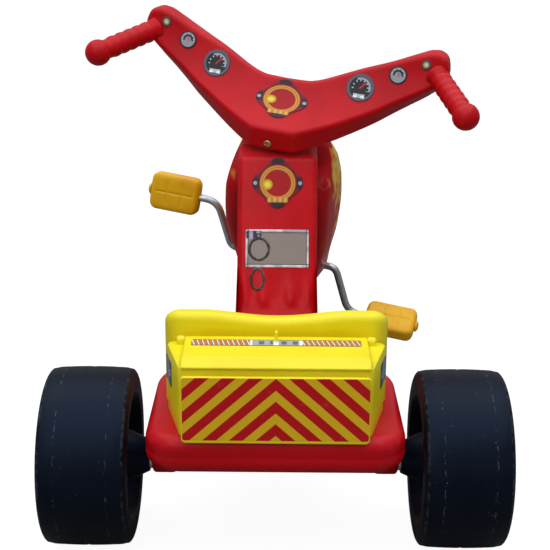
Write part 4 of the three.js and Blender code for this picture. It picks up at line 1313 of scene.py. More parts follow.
@dataclass
class StorageBox:
    """The yellow box behind the seat, with its lid, tail panel and printed films.

    Attributes:
        place: the frame of the fixed pieces.
        half_width: half its width at the rear and at the front.
        rear: its rear face.
        front: its front face.
        foot: underside.
        top: its rim.
        hinge: Y and Z of the lid's hinge axis.
        lid: half width, thickness and rear edge of the lid.
        panel: half width, bottom, top, front face and thickness of the tail panel.
        stripes: half width, foot and top of the tail panel's film.
        strip: half width, rear and front edge of the lid's film.
        locker: rear and front edge along the side wall, foot and top of a side film.
    """

    place: Place
    half_width: Pair = (106.0, 128.0)
    rear: float = -112.5
    front: float = -26.2
    foot: float = 186.25
    top: float = 268.0
    hinge: Pair = (-36.0, 272.95)
    lid: Triple = (104.5, 9.4, -115.0)
    panel: tuple[float, float, float, float, float] = (104.0, 183.0, 262.0, -118.25, 3.7)
    stripes: Triple = (102.6, 187.0, 261.2)
    strip: Triple = (96.0, -67.5, -49.0)
    locker: tuple[float, float, float, float] = (50.0, 85.0, 224.0, 254.0)

    def cup_skin(self) -> Skin:
        """The box: up its tapered outside, over a rounded rim, down inside and across its floor."""
        narrow, wide = self.half_width
        rear, front = self.rear, self.front
        outer = np.array([(-narrow, rear), (narrow, rear), (wide, front), (-wide, front)], float)
        inner = np.array([(-98, -104), (98, -104), (98, -46), (-98, -46)], float)
        low, high = self.foot, self.top
        outside = [
            (low, 5, 6), (low, 0.8, 8), (low + 1.5, 0, 9), (low + 24, 0, 9), (high - 24, 0, 9),
            (high - 3, 0, 9), (high - 1, 0.7, 9), (high, 3, 8),
        ]
        inside = [
            (high, -2, 9), (high - 1.5, -0.4, 9), (high - 4, 0, 10), (low + 14, 1, 10), (low + 7.5, 3, 10),
            (low + 6, 9, 8),
        ]
        rings = []
        for corners, levels in ((outer, outside), (inner, inside)):
            table = np.array(levels, float)
            radii = np.repeat(table[:, 2:], 4, axis=1)
            flat = rounded(inset_corners(corners, table[:, 1]), radii, arc=7, edge=6)
            height = np.broadcast_to(table[:, :1, None], (*flat.shape[:2], 1))
            rings.append(np.concatenate([flat, height], axis=2))
        return Skin(np.concatenate(rings), sharp=45)

    def cheek_skin(self, side: Side) -> Skin:
        """A hinge cheek: a block with a round top, that carries a lid pin."""
        y, z = self.hinge
        outline = [(y - 5, 262), (y + 7, 262), (y + 7, z + 3.4), (y - 5, z + 3.4)]
        profile = edge_profile(105.0, 113.8, 1.2, 1.6, 4)
        rings = across(slab_rings(outline, [1, 1, 5, 5], profile, arc=6, edge=2))
        rings[..., 0] *= side.value
        return Skin(rings)

    def lid_skin(self) -> Skin:
        """The lid: side view with a lip at the rear and a roll at the hinge, carried across.

        Its top is pressed up by 1.4 mm inside a border, as a smooth step of the distance from each edge.
        """
        half, thick, rear = self.lid
        y, z = self.hinge
        under, over = z - thick / 2, z + thick / 2 - 1.4
        outline = [(rear, under), (y + 4.4, under), (y + 4.4, over), (rear + 10, over), (rear, under + 2.2)]
        heights, insets = edge_profile(-half, half, 2.4, 2.4, 4)
        stations = np.concatenate([heights[:6], np.linspace(-half + 2.4, half - 2.4, 53)[1:-1], heights[6:]])
        spread = np.concatenate([insets[:6], np.zeros(51), insets[6:]])
        rings = across(slab_rings(outline, [1.4, 4.4, 4.2, 5, 1.6], (stations, spread), arc=7, edge=14))
        x, ahead, up = np.moveaxis(rings, -1, 0)
        field = eased(half - np.abs(x), 3, 8) * eased(ahead - rear, 9, 13) * eased(y - 4 - ahead, 0, 5)
        rings[..., 2] += 1.4 * field * (up > z)
        return Skin(rings, sharp=50)

    def tab_skin(self) -> Skin:
        """The lid's tab: a thin upright fin, leaning edges and a round top."""
        y, z = self.hinge[0] - 15, self.hinge[1] + 4.75
        outline = [(y - 4, z), (y + 4, z), (y + 3, z + 12), (y - 3, z + 12)]
        profile = edge_profile(-1.8, 1.8, 0.4, 0.9, 3)
        return Skin(across(slab_rings(outline, [0.6, 0.6, 2.8, 2.8], profile, arc=6)))

    def panel_skin(self) -> Skin:
        """The tail panel: an upright plate with rounded edges."""
        half, low, high, front, thick = self.panel
        corners = [(-half, low), (half, low), (half, high), (-half, high)]
        heights, insets = edge_profile(-front - 1, thick - front, 1, 1.8, 5)
        return Skin(on_wall(slab_rings(corners, 5, (heights, insets), arc=8, edge=8)))

    def film(self, across_wall: bool, low: Pair, high: Pair, at: float) -> Skin:
        """A printed film: a thin closed sheet with rounded corners, mapped from 0 to 1 both ways.

        Args:
            across_wall: it stands on a rear-facing wall; otherwise it lies flat.
            low: X and Z, or X and Y, of its lower corner.
            high: the opposite corner.
            at: height of its foot above the wall's origin.
        """
        corners = [low, (high[0], low[1]), high, (low[0], high[1])]
        levels = np.array([at, at, at + 0.25, at + 0.4, at + 0.4])
        flat = slab_rings(corners, 2.5, (levels, np.array([6, 0.1, 0, 0.15, 6])), arc=5, edge=6)
        uv = (flat[..., :2] - low) / (np.array(high) - low)
        return Skin(on_wall(flat) if across_wall else flat, uv=uv)

    def locker_skin(self, side: Side) -> Skin:
        """A side film, laid on the tapered side wall: its outward step is along the wall's normal."""
        narrow, wide = self.half_width
        start, end = np.array([narrow, self.rear]), np.array([wide, self.front])
        run = (end - start) / np.linalg.norm(end - start)
        out = np.array([run[1], -run[0]])
        back, fore, low, high = self.locker
        sheet = self.film(False, (back, low), (fore, high), -0.1)
        along, up, off = np.moveaxis(sheet.rings, -1, 0)
        plan = start + along[..., None] * run + off[..., None] * out
        rings = np.stack([plan[..., 0] * side.value, plan[..., 1], up], axis=-1)
        return Skin(rings, uv=sheet.uv)

    def build(self) -> None:
        """Makes the box, its lid and its films."""
        yellow, place = YELLOW.material(), self.place
        fit("box_shell", [self.cup_skin()], place, yellow, Body.FRAME, Slot.YELLOW, ["storage_box"])
        cheeks = [self.cheek_skin(side) for side in Side]
        fit("box_hinge_cheeks", cheeks, place, yellow, Body.FRAME, Slot.YELLOW)
        fit("box_lid_shell", [self.lid_skin()], place, yellow, Body.LID, Slot.YELLOW, ["box_lid"])
        fit("box_lid_tab", [self.tab_skin()], place, yellow, Body.LID, Slot.YELLOW, ["lid_tab"])
        fit("tail_plate", [self.panel_skin()], place, yellow, Body.FRAME, Slot.YELLOW, ["tail_panel"])
        _, _, _, front, thick = self.panel
        stripes = Sticker("chevron_film", (0.84, 0.52, 0.014), chevrons).material()
        half, low, high = self.stripes
        sheet = self.film(True, (-half, low), (half, high), thick - front - 0.15)
        fit("tail_stripes", [sheet], place, stripes, Body.FRAME, Slot.YELLOW)
        strip = Sticker("lamp_film", (0.09, 0.06, 0.055), warning_strip).material()
        lid_top = self.hinge[1] + self.lid[1] / 2
        half, low, high = self.strip
        sheet = self.film(False, (-half, low), (half, high), lid_top - 0.12)
        fit("lid_strip", [sheet], place, strip, Body.LID, Slot.BLACK)
        sides = Sticker("locker_film", (0.12, 0.14, 0.21), locker).material()
        films = [self.locker_skin(side) for side in Side]
        fit("box_side_films", films, place, sides, Body.FRAME, Slot.BLACK)


@dataclass
class Wheel:
    """A hollow moulded wheel, in a frame whose X runs along its axle.

    Attributes:
        name: the piece's name.
        body: the body that it is.
        place: its frame, on the axle.
        radius: over the tread.
        inner: X of the face towards the hub's long side.
        outer: X of the other face.
        shoulder: radius of the shoulders.
        hub: radius of the hub at its ends.
        cone: radius where the inner hub's cone meets the dish.
        ends: X of the hub's two ends.
        bore: radius of its bore.
        dish: depth of the two dishes.
        barrel: how much lower the tread's edges are than its middle.
        side: which way its inner face points; the left wheel is the right one turned over.
        ribs: number of radial ribs in a dish.
    """

    name: str
    body: Body
    place: Place
    radius: float
    inner: float
    outer: float
    shoulder: float
    hub: float
    cone: float
    ends: Pair
    bore: float
    dish: Pair
    barrel: float = 1.0
    side: Side = Side.RIGHT
    ribs: int = 8

    def profile(self) -> Grid:
        """The section (X, radius): hub, inner dish, tread with its mould seams, outer dish and bore."""
        r, s = self.radius, self.shoulder
        rim, inner, outer = r - s - 5, self.inner, self.outer
        near, far = self.dish
        points = [
            (self.ends[0], self.bore), (self.ends[0], self.hub), (inner + near * 0.6, self.cone),
            (inner + near, self.cone + 8), (inner + near, rim - 9), (inner + 1, rim), (inner, rim + 3),
            (inner, r), (outer, r), (outer, rim + 3), (outer - 1, rim), (outer - far, rim - 9),
            (outer - far, self.cone + 8), (outer - far * 0.6, self.hub + 4), (self.ends[1], self.hub),
            (self.ends[1], self.bore),
        ]
        radii = [1.2, 5, 8, 8, 4, 2, s, s, 2, 4, 8, 8, 5, 1.2]
        shape = dense(filleted(points, radii, 9), 3.2)
        x, across_tread = shape[:, 0], shape[:, 1]
        width = outer - inner
        seam = sum(np.exp(-(((x - inner - share * width) / 0.8) ** 2)) for share in (0.215, 0.5, 0.785))
        crown = -self.barrel * ((x - (inner + outer) / 2) / (width / 2)) ** 2
        tread = eased(across_tread, r - 3, r - 0.5)
        shape[:, 1] += tread * (crown - 0.55 * seam)
        bore = np.linspace(self.ends[1], self.ends[0], 24)[1:]
        return np.vstack([shape, np.stack([bore, np.full_like(bore, self.bore)], axis=1)[:-1]])

    def skin(self) -> Skin:
        """The section carried round, with ribs that stand up out of both dishes.

        A rib is a power of the cosine of the angle times the number of ribs, faded towards hub and rim.
        """
        rings = turned(self.profile(), 144)
        angle = np.arctan2(rings[..., 2], rings[..., 1])
        radius = np.hypot(rings[..., 1], rings[..., 2])
        rim = self.radius - self.shoulder - 5
        band = eased(radius, self.cone + 4, self.cone + 14) * (1 - eased(radius, rim - 20, rim - 8))
        rib = np.maximum(np.cos(self.ribs * angle), 0) ** 10 * band
        near = rings[..., 0] < (self.inner + self.outer) / 2
        step = np.where(near, -self.dish[0], self.dish[1]) * 0.55
        x, width = rings[..., 0], self.outer - self.inner
        in_dish = (x > self.inner + self.dish[0] - 2) | (x < self.outer - self.dish[1] + 2)
        rings[..., 0] = (x + step * rib * in_dish) * self.side.value
        share = (np.abs(rings[..., 0]) - self.inner) / width if self.inner > 0 else 0 * radius
        return Skin(rings, loop=True, uv=np.stack([share, angle / TAU], axis=-1), sharp=60)

    def build(self, material: Material) -> None:
        """Makes the wheel; its piece stands for the node of the same name."""
        node = self.body.value
        fit(self.name, [self.skin()], self.place, material, self.body, Slot.BLACK, [node])


@dataclass
class Steering:
    """Fork legs, crown, crank and the small parts that steer.

    Attributes:
        place: the steering frame.
        leg: leg sections from the foot up: along, outer, rear, front, and how far the section is level.
        inner: the legs' inner faces.
        offset: the axle ahead of the steering axis.
        rake: the steering axis's lean.
        crown: bottom and top of the crown.
    """

    place: Place
    leg: tuple[tuple[float, ...], ...] = (
        (-26, 62, -7, 75, 1), (-18, 66, -11, 81, 1), (20, 72, -17, 91, 0.6), (70, 81, -22, 101, 0.2),
        (120, 84, -25, 103, 0), (165, 83, -23, 99, 0), (198, 78, -5, 93, 0), (218, 71, 32, 85, 0),
        (238, 58, 42, 77, 0),
    )
    inner: float = 27.0
    offset: float = 35.0
    rake: float = math.radians(26)
    crown: Pair = (196.0, 222.0)

    def leg_skin(self, side: Side) -> Skin:
        """A leg: rounded sections between stations, whose foot is level and whose outer face is bowed.

        A section's corners follow smooth curves through the stations; the outer face swells by a cosine of
        the way across it. The map is how far forward and outward a point is, and its height.
        """
        table = np.array(self.leg)
        along = np.concatenate([np.linspace(-26, -18, 5), np.linspace(-18, 238, 66)[1:]])
        outer, rear, front, level = through(table[:, 0], table[:, 1:], along).T
        foot, head = table[0, 0], table[-1, 0]
        at_head = np.clip((along - (head - 12)) / 12, 0, 1)
        at_foot = 1 - np.clip((along - foot) / 8, 0, 1)
        pinch = 4.5 * np.sqrt(at_head**3) + 3 * at_foot**2
        inner = np.full_like(along, self.inner)
        near, far, face = rear + pinch, front - pinch, outer - pinch
        corners = section((inner, near), (face, near), (face, far), (inner, far))
        radii = np.broadcast_to(np.array([6.0, 20.0, 27.0, 6.0]), (len(along), 4))
        flat = rounded(corners, radii, arc=8, edge=9)
        x, y = flat[..., 0], flat[..., 1]
        across_face = np.clip((y - rear[:, None]) / (front - rear)[:, None], 0, 1)
        outward_share = eased(x, self.inner + 10, self.inner + 50)
        x = x + (3.2 * np.sin(math.pi * across_face) - 2.2) * outward_share * eased(along, -20, 30)[:, None]
        z = along[:, None] - level[:, None] * math.tan(self.rake) * (y - self.offset)
        heat = (0.62 * eased(across_face, 0.1, 0.62) + 0.36 * eased(z, 90, 214)) * outward_share
        uv = np.stack([heat, z / 200], axis=-1)
        return Skin(np.stack([x * side.value, y, z], axis=-1), uv=uv, sharp=50)

    def crown_skin(self) -> Skin:
        """The crown: a rounded slab above the wheel."""
        low, high = self.crown
        corners = [(-26.75, -26), (26.75, -26), (26.75, 62), (-26.75, 62)]
        return Skin(slab_rings(corners, [18, 18, 5, 5], edge_profile(low, high, 2.5, 4, 5), arc=8, edge=4))

    def crank_skin(self, body_points: Sequence[Pair]) -> Skin:
        """The bent rod: a circle carried along the filleted line through its corners.

        Args:
            body_points: (X, Y) corners from the left end to the right one, in the plane of the bend.

        Each ring lies across the path's direction; both ends are rounded off by a quarter circle.
        """
        line = dense(filleted(body_points, [30, 18, 18, 30], 12), 3.0)
        step = np.gradient(line, axis=0)
        step /= np.linalg.norm(step, axis=1, keepdims=True)
        side = np.stack([-step[:, 1], step[:, 0]], axis=1)
        angle = np.linspace(0, TAU, 24, endpoint=False)
        from_end = np.minimum(np.arange(len(line)), np.arange(len(line))[::-1])
        radius = 6 * np.sqrt(np.clip(1 - (1 - np.clip(from_end / 2, 0, 1)) ** 2 * 0.5, 0, 1))
        ring = np.cos(angle)[None, :, None] * side[:, None, :] * radius[:, None, None] + line[:, None, :]
        up = np.sin(angle)[None, :] * radius[:, None]
        return Skin(np.concatenate([ring, up[..., None]], axis=2))

    def bolt_skin(self, side: Side) -> Skin:
        """A fork bolt's domed head with a round socket, at the leg's outer face."""
        points = [(60, 3), (66, 8), (69.5, 7.2), (71, 4.6), (71, 3.6), (68.5, 3.2), (60, 2.6)]
        rings = turned(dense(filleted(points, [0.5, 1.5, 1.5, 0.3, 0.3], 3), 1.5), 36)
        rings[..., 0] *= side.value
        return Skin(rings + np.array([0, 47, 209]), loop=True)

    def build(self) -> None:
        """Makes the legs, the crown, the bolts and the crank."""
        flames = flamed(RED)
        for side in Side:
            word = side.word
            leg, node = self.leg_skin(side), f"fork_leg_{word}"
            fit(f"leg_{word}", [leg], self.place, flames, Body.STEERING, Slot.RED, [node])
        red, zinc = RED.material(), ZINC.material()
        fit("crown_block", [self.crown_skin()], self.place, red, Body.STEERING, Slot.RED, ["fork_crown"])
        heads = [self.bolt_skin(side) for side in Side]
        bolts = ["fork_bolt_left", "fork_bolt_right"]
        fit("leg_bolts", heads, self.place, zinc, Body.STEERING, Slot.ZINC, bolts)
        pedal, wheel = (np.array(joint(f"{name}_spin")["pos_m"]) for name in ("pedal_left", "front_wheel"))
        throw = (pedal - wheel) / MM
        hub = spin_place("front_wheel_spin")
        reach = throw @ hub.axes.T
        length = math.hypot(reach[1], reach[2])
        turned_place = hub.spun(math.atan2(reach[2], reach[1]))
        line = [(-238, length), (-120, length), (-90, 0), (90, 0), (120, -length), (238, -length)]
        rod = self.crank_skin(line)
        fit("crank_rod", [rod], turned_place, zinc, Body.FRONT_WHEEL, Slot.ZINC, ["crank"])


@dataclass
class Pedal:
    """An amber pedal block on the crank's end.

    Attributes:
        side: which side it is on.
        tilt: its face's turn about the crank's end.
        length: along the crank.
        depth: across it.
        thickness: of the block.
    """

    side: Side
    tilt: float
    length: float = 84.0
    depth: float = 62.0
    thickness: float = 26.0

    def block_skin(self) -> Skin:
        """The block: a rounded slab, bored for the rod, with two rows of three blocks on both faces.

        The surface is a ring section carried from the bore round the outside and back, as a torus. Its
        outside is a rounded rectangle; the gaps between the blocks are bell curves across and along it.
        """
        half, deep, thick = self.length / 2, self.depth / 2, self.thickness / 2
        angle = np.linspace(0, TAU, 128, endpoint=False)
        way = np.linspace(0, 1, 101)
        x = half * np.sin((way - 0.5) * math.pi)
        end = np.clip((np.abs(x) - (half - 13)) / 13, 0, 1)
        plan = deep - 13 * (1 - np.sqrt(1 - end**2 * 0.999))
        tall = thick - 8 * (1 - np.sqrt(1 - np.clip((np.abs(x) - (half - 8)) / 8, 0, 1) ** 2 * 0.999))
        c, s = np.cos(angle)[None, :], np.sin(angle)[None, :]
        power = 5.0
        reach = (np.abs(c / plan[:, None]) ** power + np.abs(s / tall[:, None]) ** power) ** (-1 / power)
        y, z = reach * c, reach * s
        face = eased(np.abs(z), tall[:, None] * 0.9, tall[:, None] * 0.985)
        wide = 1 - eased(np.abs(y), deep - 14, deep - 8)
        long = 1 - eased(np.abs(x), half - 14, half - 8)[:, None]
        gap = np.exp(-((y / 1.7) ** 2)) + np.exp(-(((np.abs(x) - 12.5) / 1.6) ** 2))[:, None]
        z = z - np.sign(z) * 1.3 * np.clip(gap, 0, 1) * face * wide * long
        outside = np.stack([np.repeat(x[:, None], len(angle), axis=1), y, z], axis=-1)
        bore = turned(np.stack([np.linspace(half, -half, 15), np.full(15, 6.6)], axis=1), len(angle))
        return Skin(np.concatenate([outside, bore]), loop=True, sharp=40)

    def cap_skin(self) -> Skin:
        """The push-on cap: a domed disc with a rolled edge."""
        foot = self.length / 2 + 0.25
        points = [(0, 6.2), (0, 9.5), (2.6, 9), (5.2, 4.5), (5.2, 0.4), (4.4, 0.4), (4.2, 6.2)]
        rings = turned(dense(filleted(points, [0.8, 2, 3, 0.2, 0.2], 4), 2), 40)
        rings[..., 0] = (rings[..., 0] + foot) * self.side.value
        return Skin(rings, loop=True)

    def build(self) -> None:
        """Makes the pedal and its cap."""
        word = self.side.word
        place = spin_place(f"pedal_{word}_spin")
        body = Body[f"PEDAL_{word.upper()}"]
        tilted, amber = place.spun(self.tilt), AMBER.material()
        block, cap = self.block_skin(), self.cap_skin()
        fit(f"pedal_block_{word}", [block], tilted, amber, body, Slot.AMBER, [f"pedal_{word}"])
        front, node = Body.FRONT_WHEEL, f"pedal_cap_{word}"
        fit(f"crank_cap_{word}", [cap], place, amber, front, Slot.AMBER, [node])


def disc_grid(half: Sequence[float], proud: float, lobes: float = 0.0) -> tuple[Grid, Grid, Grid, Grid]:
    """A thin round film: rings of an ellipse shrunk towards its middle, with a rounded rim.

    Its size dips by a squared sine of twice the angle, so that it can have four lobes.

    Args:
        half: half its width and half its height.
        proud: how far it stands out.
        lobes: how deep the outline dips between its lobes, as a share of its size.

    Returns:
        X, Y and height of its points, and their map from 0 to 1.
    """
    angle = np.linspace(0, TAU, 96, endpoint=False)
    share = np.array([0.4, 0.985, 1.0, 1.0, 0.985, 0.95, 0.8, 0.6, 0.4, 0.2, 0.03])[:, None]
    share = share * (1 - lobes * np.sin(2 * angle) ** 2)
    out = np.array([-0.3, -0.3, -0.1, 0.55, 0.9, 1.0, 0.98, 0.97, 0.97, 0.97, 0.97])[:, None] * proud
    x, y = share * np.cos(angle), share * np.sin(angle)
    return half[0] * x, half[1] * y, out + 0 * x, np.stack([0.5 + 0.5 * x, 0.5 + 0.5 * y], axis=-1)


@dataclass
class Handlebar:
    """The red V-shaped handlebar with its curled face, grips, dials and screw.

    Attributes:
        place: the steering frame.
        height: the face's centre along the axis.
        tilt: the face's lean from the steering frame's ahead direction.
        curl: added lean for each millimetre up the face.
        thick: thickness at the hub and at the tips.
        flare: how far the underside stands out at the lower edge, at the hub and at the tips.
        stations: aside, lower and upper edge.
        grip: radius, length and ball radius of a grip.
        dial: how far aside and up the face a dial is, and its radius.
        gauge: the same for the smaller dial.
        lamp: the same for the warning lamp.
    """

    place: Place
    height: float = 320.83
    tilt: float = math.radians(21)
    curl: float = math.radians(0.38)
    thick: Pair = (39.5, 33.0)
    flare: Pair = (7.5, 3.0)
    stations: tuple[Triple, ...] = (
        (0, -36, 55), (30, -36, 56), (44, -30, 59), (64, -19, 67), (86, -6, 77), (109, 8, 87), (135, 24, 97),
        (160, 41, 107), (182, 55, 116), (200, 66, 122.5), (210, 73, 123.5), (218, 79.5, 121.5),
        (224, 86, 117), (229, 96, 108),
    )
    grip: Triple = (15.5, 106.0, 19.0)
    dial: Triple = (109.0, 57.0, 20.5)
    gauge: Triple = (159.0, 84.0, 13.0)
    lamp: Triple = (196.0, 105.0, 7.6)

    def on_face(self, aside: Grid, up: Grid, out: Grid) -> Grid:
        """Points of the steering frame on the curled face.

        The face is a cylinder across the bar: a point up the face by an arc length lies at that arc's end,
        and its outward step is along the normal there.
        """
        here = self.tilt + self.curl * up
        ahead = (np.sin(here) - math.sin(self.tilt)) / self.curl - out * np.sin(here)
        along = (math.cos(self.tilt) - np.cos(here)) / self.curl + out * np.cos(here)
        return np.stack([aside + 0 * ahead, ahead, self.height + along], axis=-1)

    def plate_skin(self) -> Skin:
        """The plate: sections across the arm, through smooth curves of its lower and upper edges.

        Both tips are closed by a quarter circle of insets.
        """
        table = np.array(self.stations)
        span = table[-1, 0]
        half = np.concatenate([np.linspace(0, 200, 60), np.linspace(200, span, 24)[1:]])
        x = np.concatenate([-half[:0:-1], half])
        lower, upper = through(table[:, 0], table[:, 1:], np.abs(x)).T
        tip = np.clip((np.abs(x) - (span - 7)) / 7, 0, 1)
        inset = 6.5 * (1 - np.sqrt(1 - tip**2 * 0.998))
        share = np.abs(x) / span
        depth = self.thick[0] + (self.thick[1] - self.thick[0]) * share
        flare = self.flare[0] + (self.flare[1] - self.flare[0]) * share
        under = inset - depth
        corners = section(
            (lower + inset, -inset), (upper - inset, -inset), (upper - inset, under),
            (lower - flare + inset, under),
        )
        edge = np.stack([8 - inset * 0.6, 8 - inset * 0.6, 7 - inset * 0.6, 8 - inset * 0.6], 1)
        flat = rounded(corners, edge, arc=7, edge=12)
        up, out = flat[..., 0], flat[..., 1]
        rings = self.on_face(np.repeat(x[:, None], flat.shape[1], axis=1), up, out)
        return Skin(rings, sharp=60)

    def grip_skin(self, side: Side) -> Skin:
        """A grip: a turned profile with finger ridges and a ball end, laid along the grip's direction.

        The ridges are half sines raised to 0.7 along the handle.
        """
        radius, length, ball = self.grip
        x = np.concatenate([np.linspace(-10, length - 14, 110), np.linspace(length - 13, length + ball, 40)])
        ridge = np.abs(np.sin((x - 10) / 15.2 * math.pi)) ** 0.7
        handle = radius - 1.9 + 2.1 * ridge * eased(x, 4, 14) * (1 - eased(x, length - 22, length - 12))
        bulb = np.sqrt(np.clip(ball**2 - (x - length) ** 2, 0.05, None))
        r = np.where(x > length - 12, np.maximum(bulb, np.where(x < length, handle, 0)), handle)
        collar = 4.5 * np.exp(-(((x - 2) / 5.0) ** 2))
        rings = turned(np.stack([x, r + collar], axis=1), 48)
        towards = np.array([58.0, -94.0, 4.0])
        towards /= np.linalg.norm(towards)
        first = np.cross([0, 0, 1.0], towards)
        first /= np.linalg.norm(first)
        axes = np.array([towards, first, np.cross(towards, first)])
        root = self.on_face(np.array(214.0), np.array(92.0), np.array(-8.0))
        points = root + rings @ axes
        points[..., 0] *= side.value
        return Skin(points, sharp=60)

    def disc_skin(
        self, at: Sequence[float], half: Sequence[float], proud: float = 1.3, lobes: float = 0.0
    ) -> Skin:
        """A round film or dial on the face.

        Args:
            at: its centre across the bar and up the face.
            half: half its width and half its height.
            proud: how far it stands out.
            lobes: how deep the outline dips between its four lobes, as a share of its size.
        """
        x, y, out, uv = disc_grid(half, proud, lobes)
        return Skin(self.on_face(at[0] + x, at[1] + y, out), uv=uv, sharp=60)

    def screw_skin(self) -> Skin:
        """The screw's pan head with a cross recess, in the hub's rim: a height over a disc.

        The recess is the deeper of two grooves across the head.
        """
        angle = np.linspace(0, TAU, 64, endpoint=False)
        share = np.array([0.3, 0.98, 1.0, 0.97, 0.86, 0.7, 0.6, 0.5, 0.4, 0.3, 0.2, 0.1, 0.02])[:, None]
        rise = np.array([0, 0, 0.5, 1.4, 2.2, 2.6, 2.75, 2.8, 2.85, 2.9, 2.9, 2.9, 2.9])[:, None]
        across_head, up = 6 * share * np.cos(angle), 6 * share * np.sin(angle)
        groove = np.maximum(np.exp(-((across_head / 0.9) ** 4)), np.exp(-((up / 0.9) ** 4)))
        inside = 1 - eased(np.hypot(across_head, up), 3.6, 4.4)
        rise = rise - 1.8 * groove * inside
        x, ahead, z = self.screw_at()
        return Skin(np.stack([x + across_head, ahead - rise, z + up], axis=-1), sharp=30)

    def screw_at(self) -> Triple:
        """The screw's seat: aside, ahead and along, on the hub's rim 24 mm below the face."""
        rim = self.on_face(np.array(0.0), np.array(-36 - self.flare[0] * 24 / self.thick[0]), np.array(-24.0))
        level = self.on_face(np.array(0.0), np.array(-36.0), np.array(-24.0))
        return -5.0, float(rim[1]) - 0.6, float(level[2])

    def build(self) -> None:
        """Makes the bar, its grips, its dials and the screw."""
        red, place = RED.material(), self.place
        fit("bar_plate", [self.plate_skin()], place, red, Body.STEERING, Slot.RED, ["handlebar"])
        grips = [self.grip_skin(side) for side in Side]
        fit("bar_grips", grips, place, red, Body.STEERING, Slot.RED)
        sets = {
            "bar_dials": (Sticker("dial_face", (0.028, 0.028, 0.034), dial), self.dial),
            "bar_gauges": (Sticker("gauge_face", (0.36, 0.36, 0.42), small_dial), self.gauge),
            "bar_lamps": (Sticker("lamp_face", (0.50, 0.46, 0.34), lamp), self.lamp),
        }
        for name, (finish, (aside, up, half)) in sets.items():
            discs = [self.disc_skin((side.value * aside, up), (half, half)) for side in Side]
            fit(name, discs, place, finish.material(), Body.STEERING, Slot.BLACK)
        seal = Sticker("badge_face", (0.42, 0.008, 0.010), badge).material()
        disc = self.disc_skin((0.0, 19.0), (39.0, 32.0), 0.8, 0.2)
        fit("bar_badge", [disc], place, seal, Body.STEERING, Slot.RED)
        brass = BRASS.material()
        fit("bar_screw", [self.screw_skin()], place, brass, Body.STEERING, Slot.BRASS, ["handlebar_screw"])


@dataclass
class NeckFilms:
    """The badge, plate and loop on the neck's rear face.

    Attributes:
        chassis: the frame whose neck carries them.
        heights: of the badge, the plate and the tag above the floor.
    """

    chassis: Chassis
    heights: Triple = (359.0, 272.0, 231.5)

    def on_neck(self, aside: Grid, up: Grid, out: Grid) -> Grid:
        """Points on the rear face: up it from its foot, and outwards along its normal over its swell."""
        low, high = np.array(self.chassis.foot), np.array(self.chassis.beside(*self.chassis.crest))
        run = (high - low) / np.linalg.norm(high - low)
        normal = np.array([-run[1], run[0]])
        z = low[1] + up * run[1]
        swell = self.chassis.swell(aside, z) / run[1]
        plane = low + up[..., None] * run + (out + swell)[..., None] * normal
        return np.stack([aside, plane[..., 0], plane[..., 1]], axis=-1)

    def up_at(self, height: float) -> float:
        """How far up the face a height above the floor is."""
        run = np.array(self.chassis.beside(*self.chassis.crest)) - np.array(self.chassis.foot)
        return (height - self.chassis.foot[1]) / run[1] * float(np.linalg.norm(run))

    def plate_skin(self, aside: float, up: float, half: Pair) -> Skin:
        """The name plate: a thin rounded rectangle with a bevelled frame, that follows the face."""
        corners = [(-half[0], -half[1]), (half[0], -half[1]), half, (-half[0], half[1])]
        levels = np.array([-0.2, -0.2, 0.8, 1.4, 1.4, 0.7, 0.6, 0.6, 0.6])
        insets = np.array([8, 0.2, 0, 0.5, 2.8, 3.4, 8, 14, 20])
        flat = slab_rings(corners, 2.5, (levels, insets), arc=5, edge=10)
        uv = (flat[..., :2] + half) / (2 * np.array(half))
        return Skin(self.on_neck(aside + flat[..., 0], up + flat[..., 1], flat[..., 2]), uv=uv, sharp=40)

    def loop_skin(self, aside: float, up: float, half: Pair, band: float) -> Skin:
        """A flat ring on the face: an ellipse whose half oval section is carried round it."""
        angle = np.linspace(0, TAU, 72, endpoint=False)
        section = np.linspace(0, TAU, 12, endpoint=False)
        offset, out = band / 2 * np.cos(section), 0.5 + 0.9 * np.sin(section)
        x = (half[0] + offset[None, :]) * np.cos(angle)[:, None]
        y = (half[1] + offset[None, :]) * np.sin(angle)[:, None]
        return Skin(self.on_neck(aside + x, up + y, out[None, :] + 0 * x), loop=True)

    def build(self) -> None:
        """Makes the films."""
        seal = Sticker("neck_badge_face", (0.42, 0.008, 0.010), badge).material()
        place = self.chassis.place
        badge_up, centre, tag_up = map(self.up_at, self.heights)
        x, y, out, uv = disc_grid((37.0, 37.5), 0.7, 0.2)
        disc = Skin(self.on_neck(x, badge_up + y, out), uv=uv, sharp=60)
        fit("neck_badge", [disc], place, seal, Body.FRAME, Slot.RED)
        plate_look = Sticker("plate_face", (0.30, 0.25, 0.235), name_plate).material()
        plate = self.plate_skin(0.0, centre, (45.5, 27.5))
        fit("neck_plate", [plate], place, plate_look, Body.FRAME, Slot.ZINC)
        ink = Plastic("loop_print", (0.028, 0.018, 0.022), (0.02, 0.012, 0.014), rough=0.42, coat=0.1)
        ring = self.loop_skin(-26.0, centre - 1, (14.0, 15.5), 4.2)
        tag = self.loop_skin(-28.0, tag_up, (9.0, 15.0), 3.6)
        lug = self.loop_skin(-27.0, centre + 18.5, (3.0, 2.6), 2.6)
        fit("neck_loops", [ring, tag, lug], place, ink.material(), Body.FRAME, Slot.BLACK)


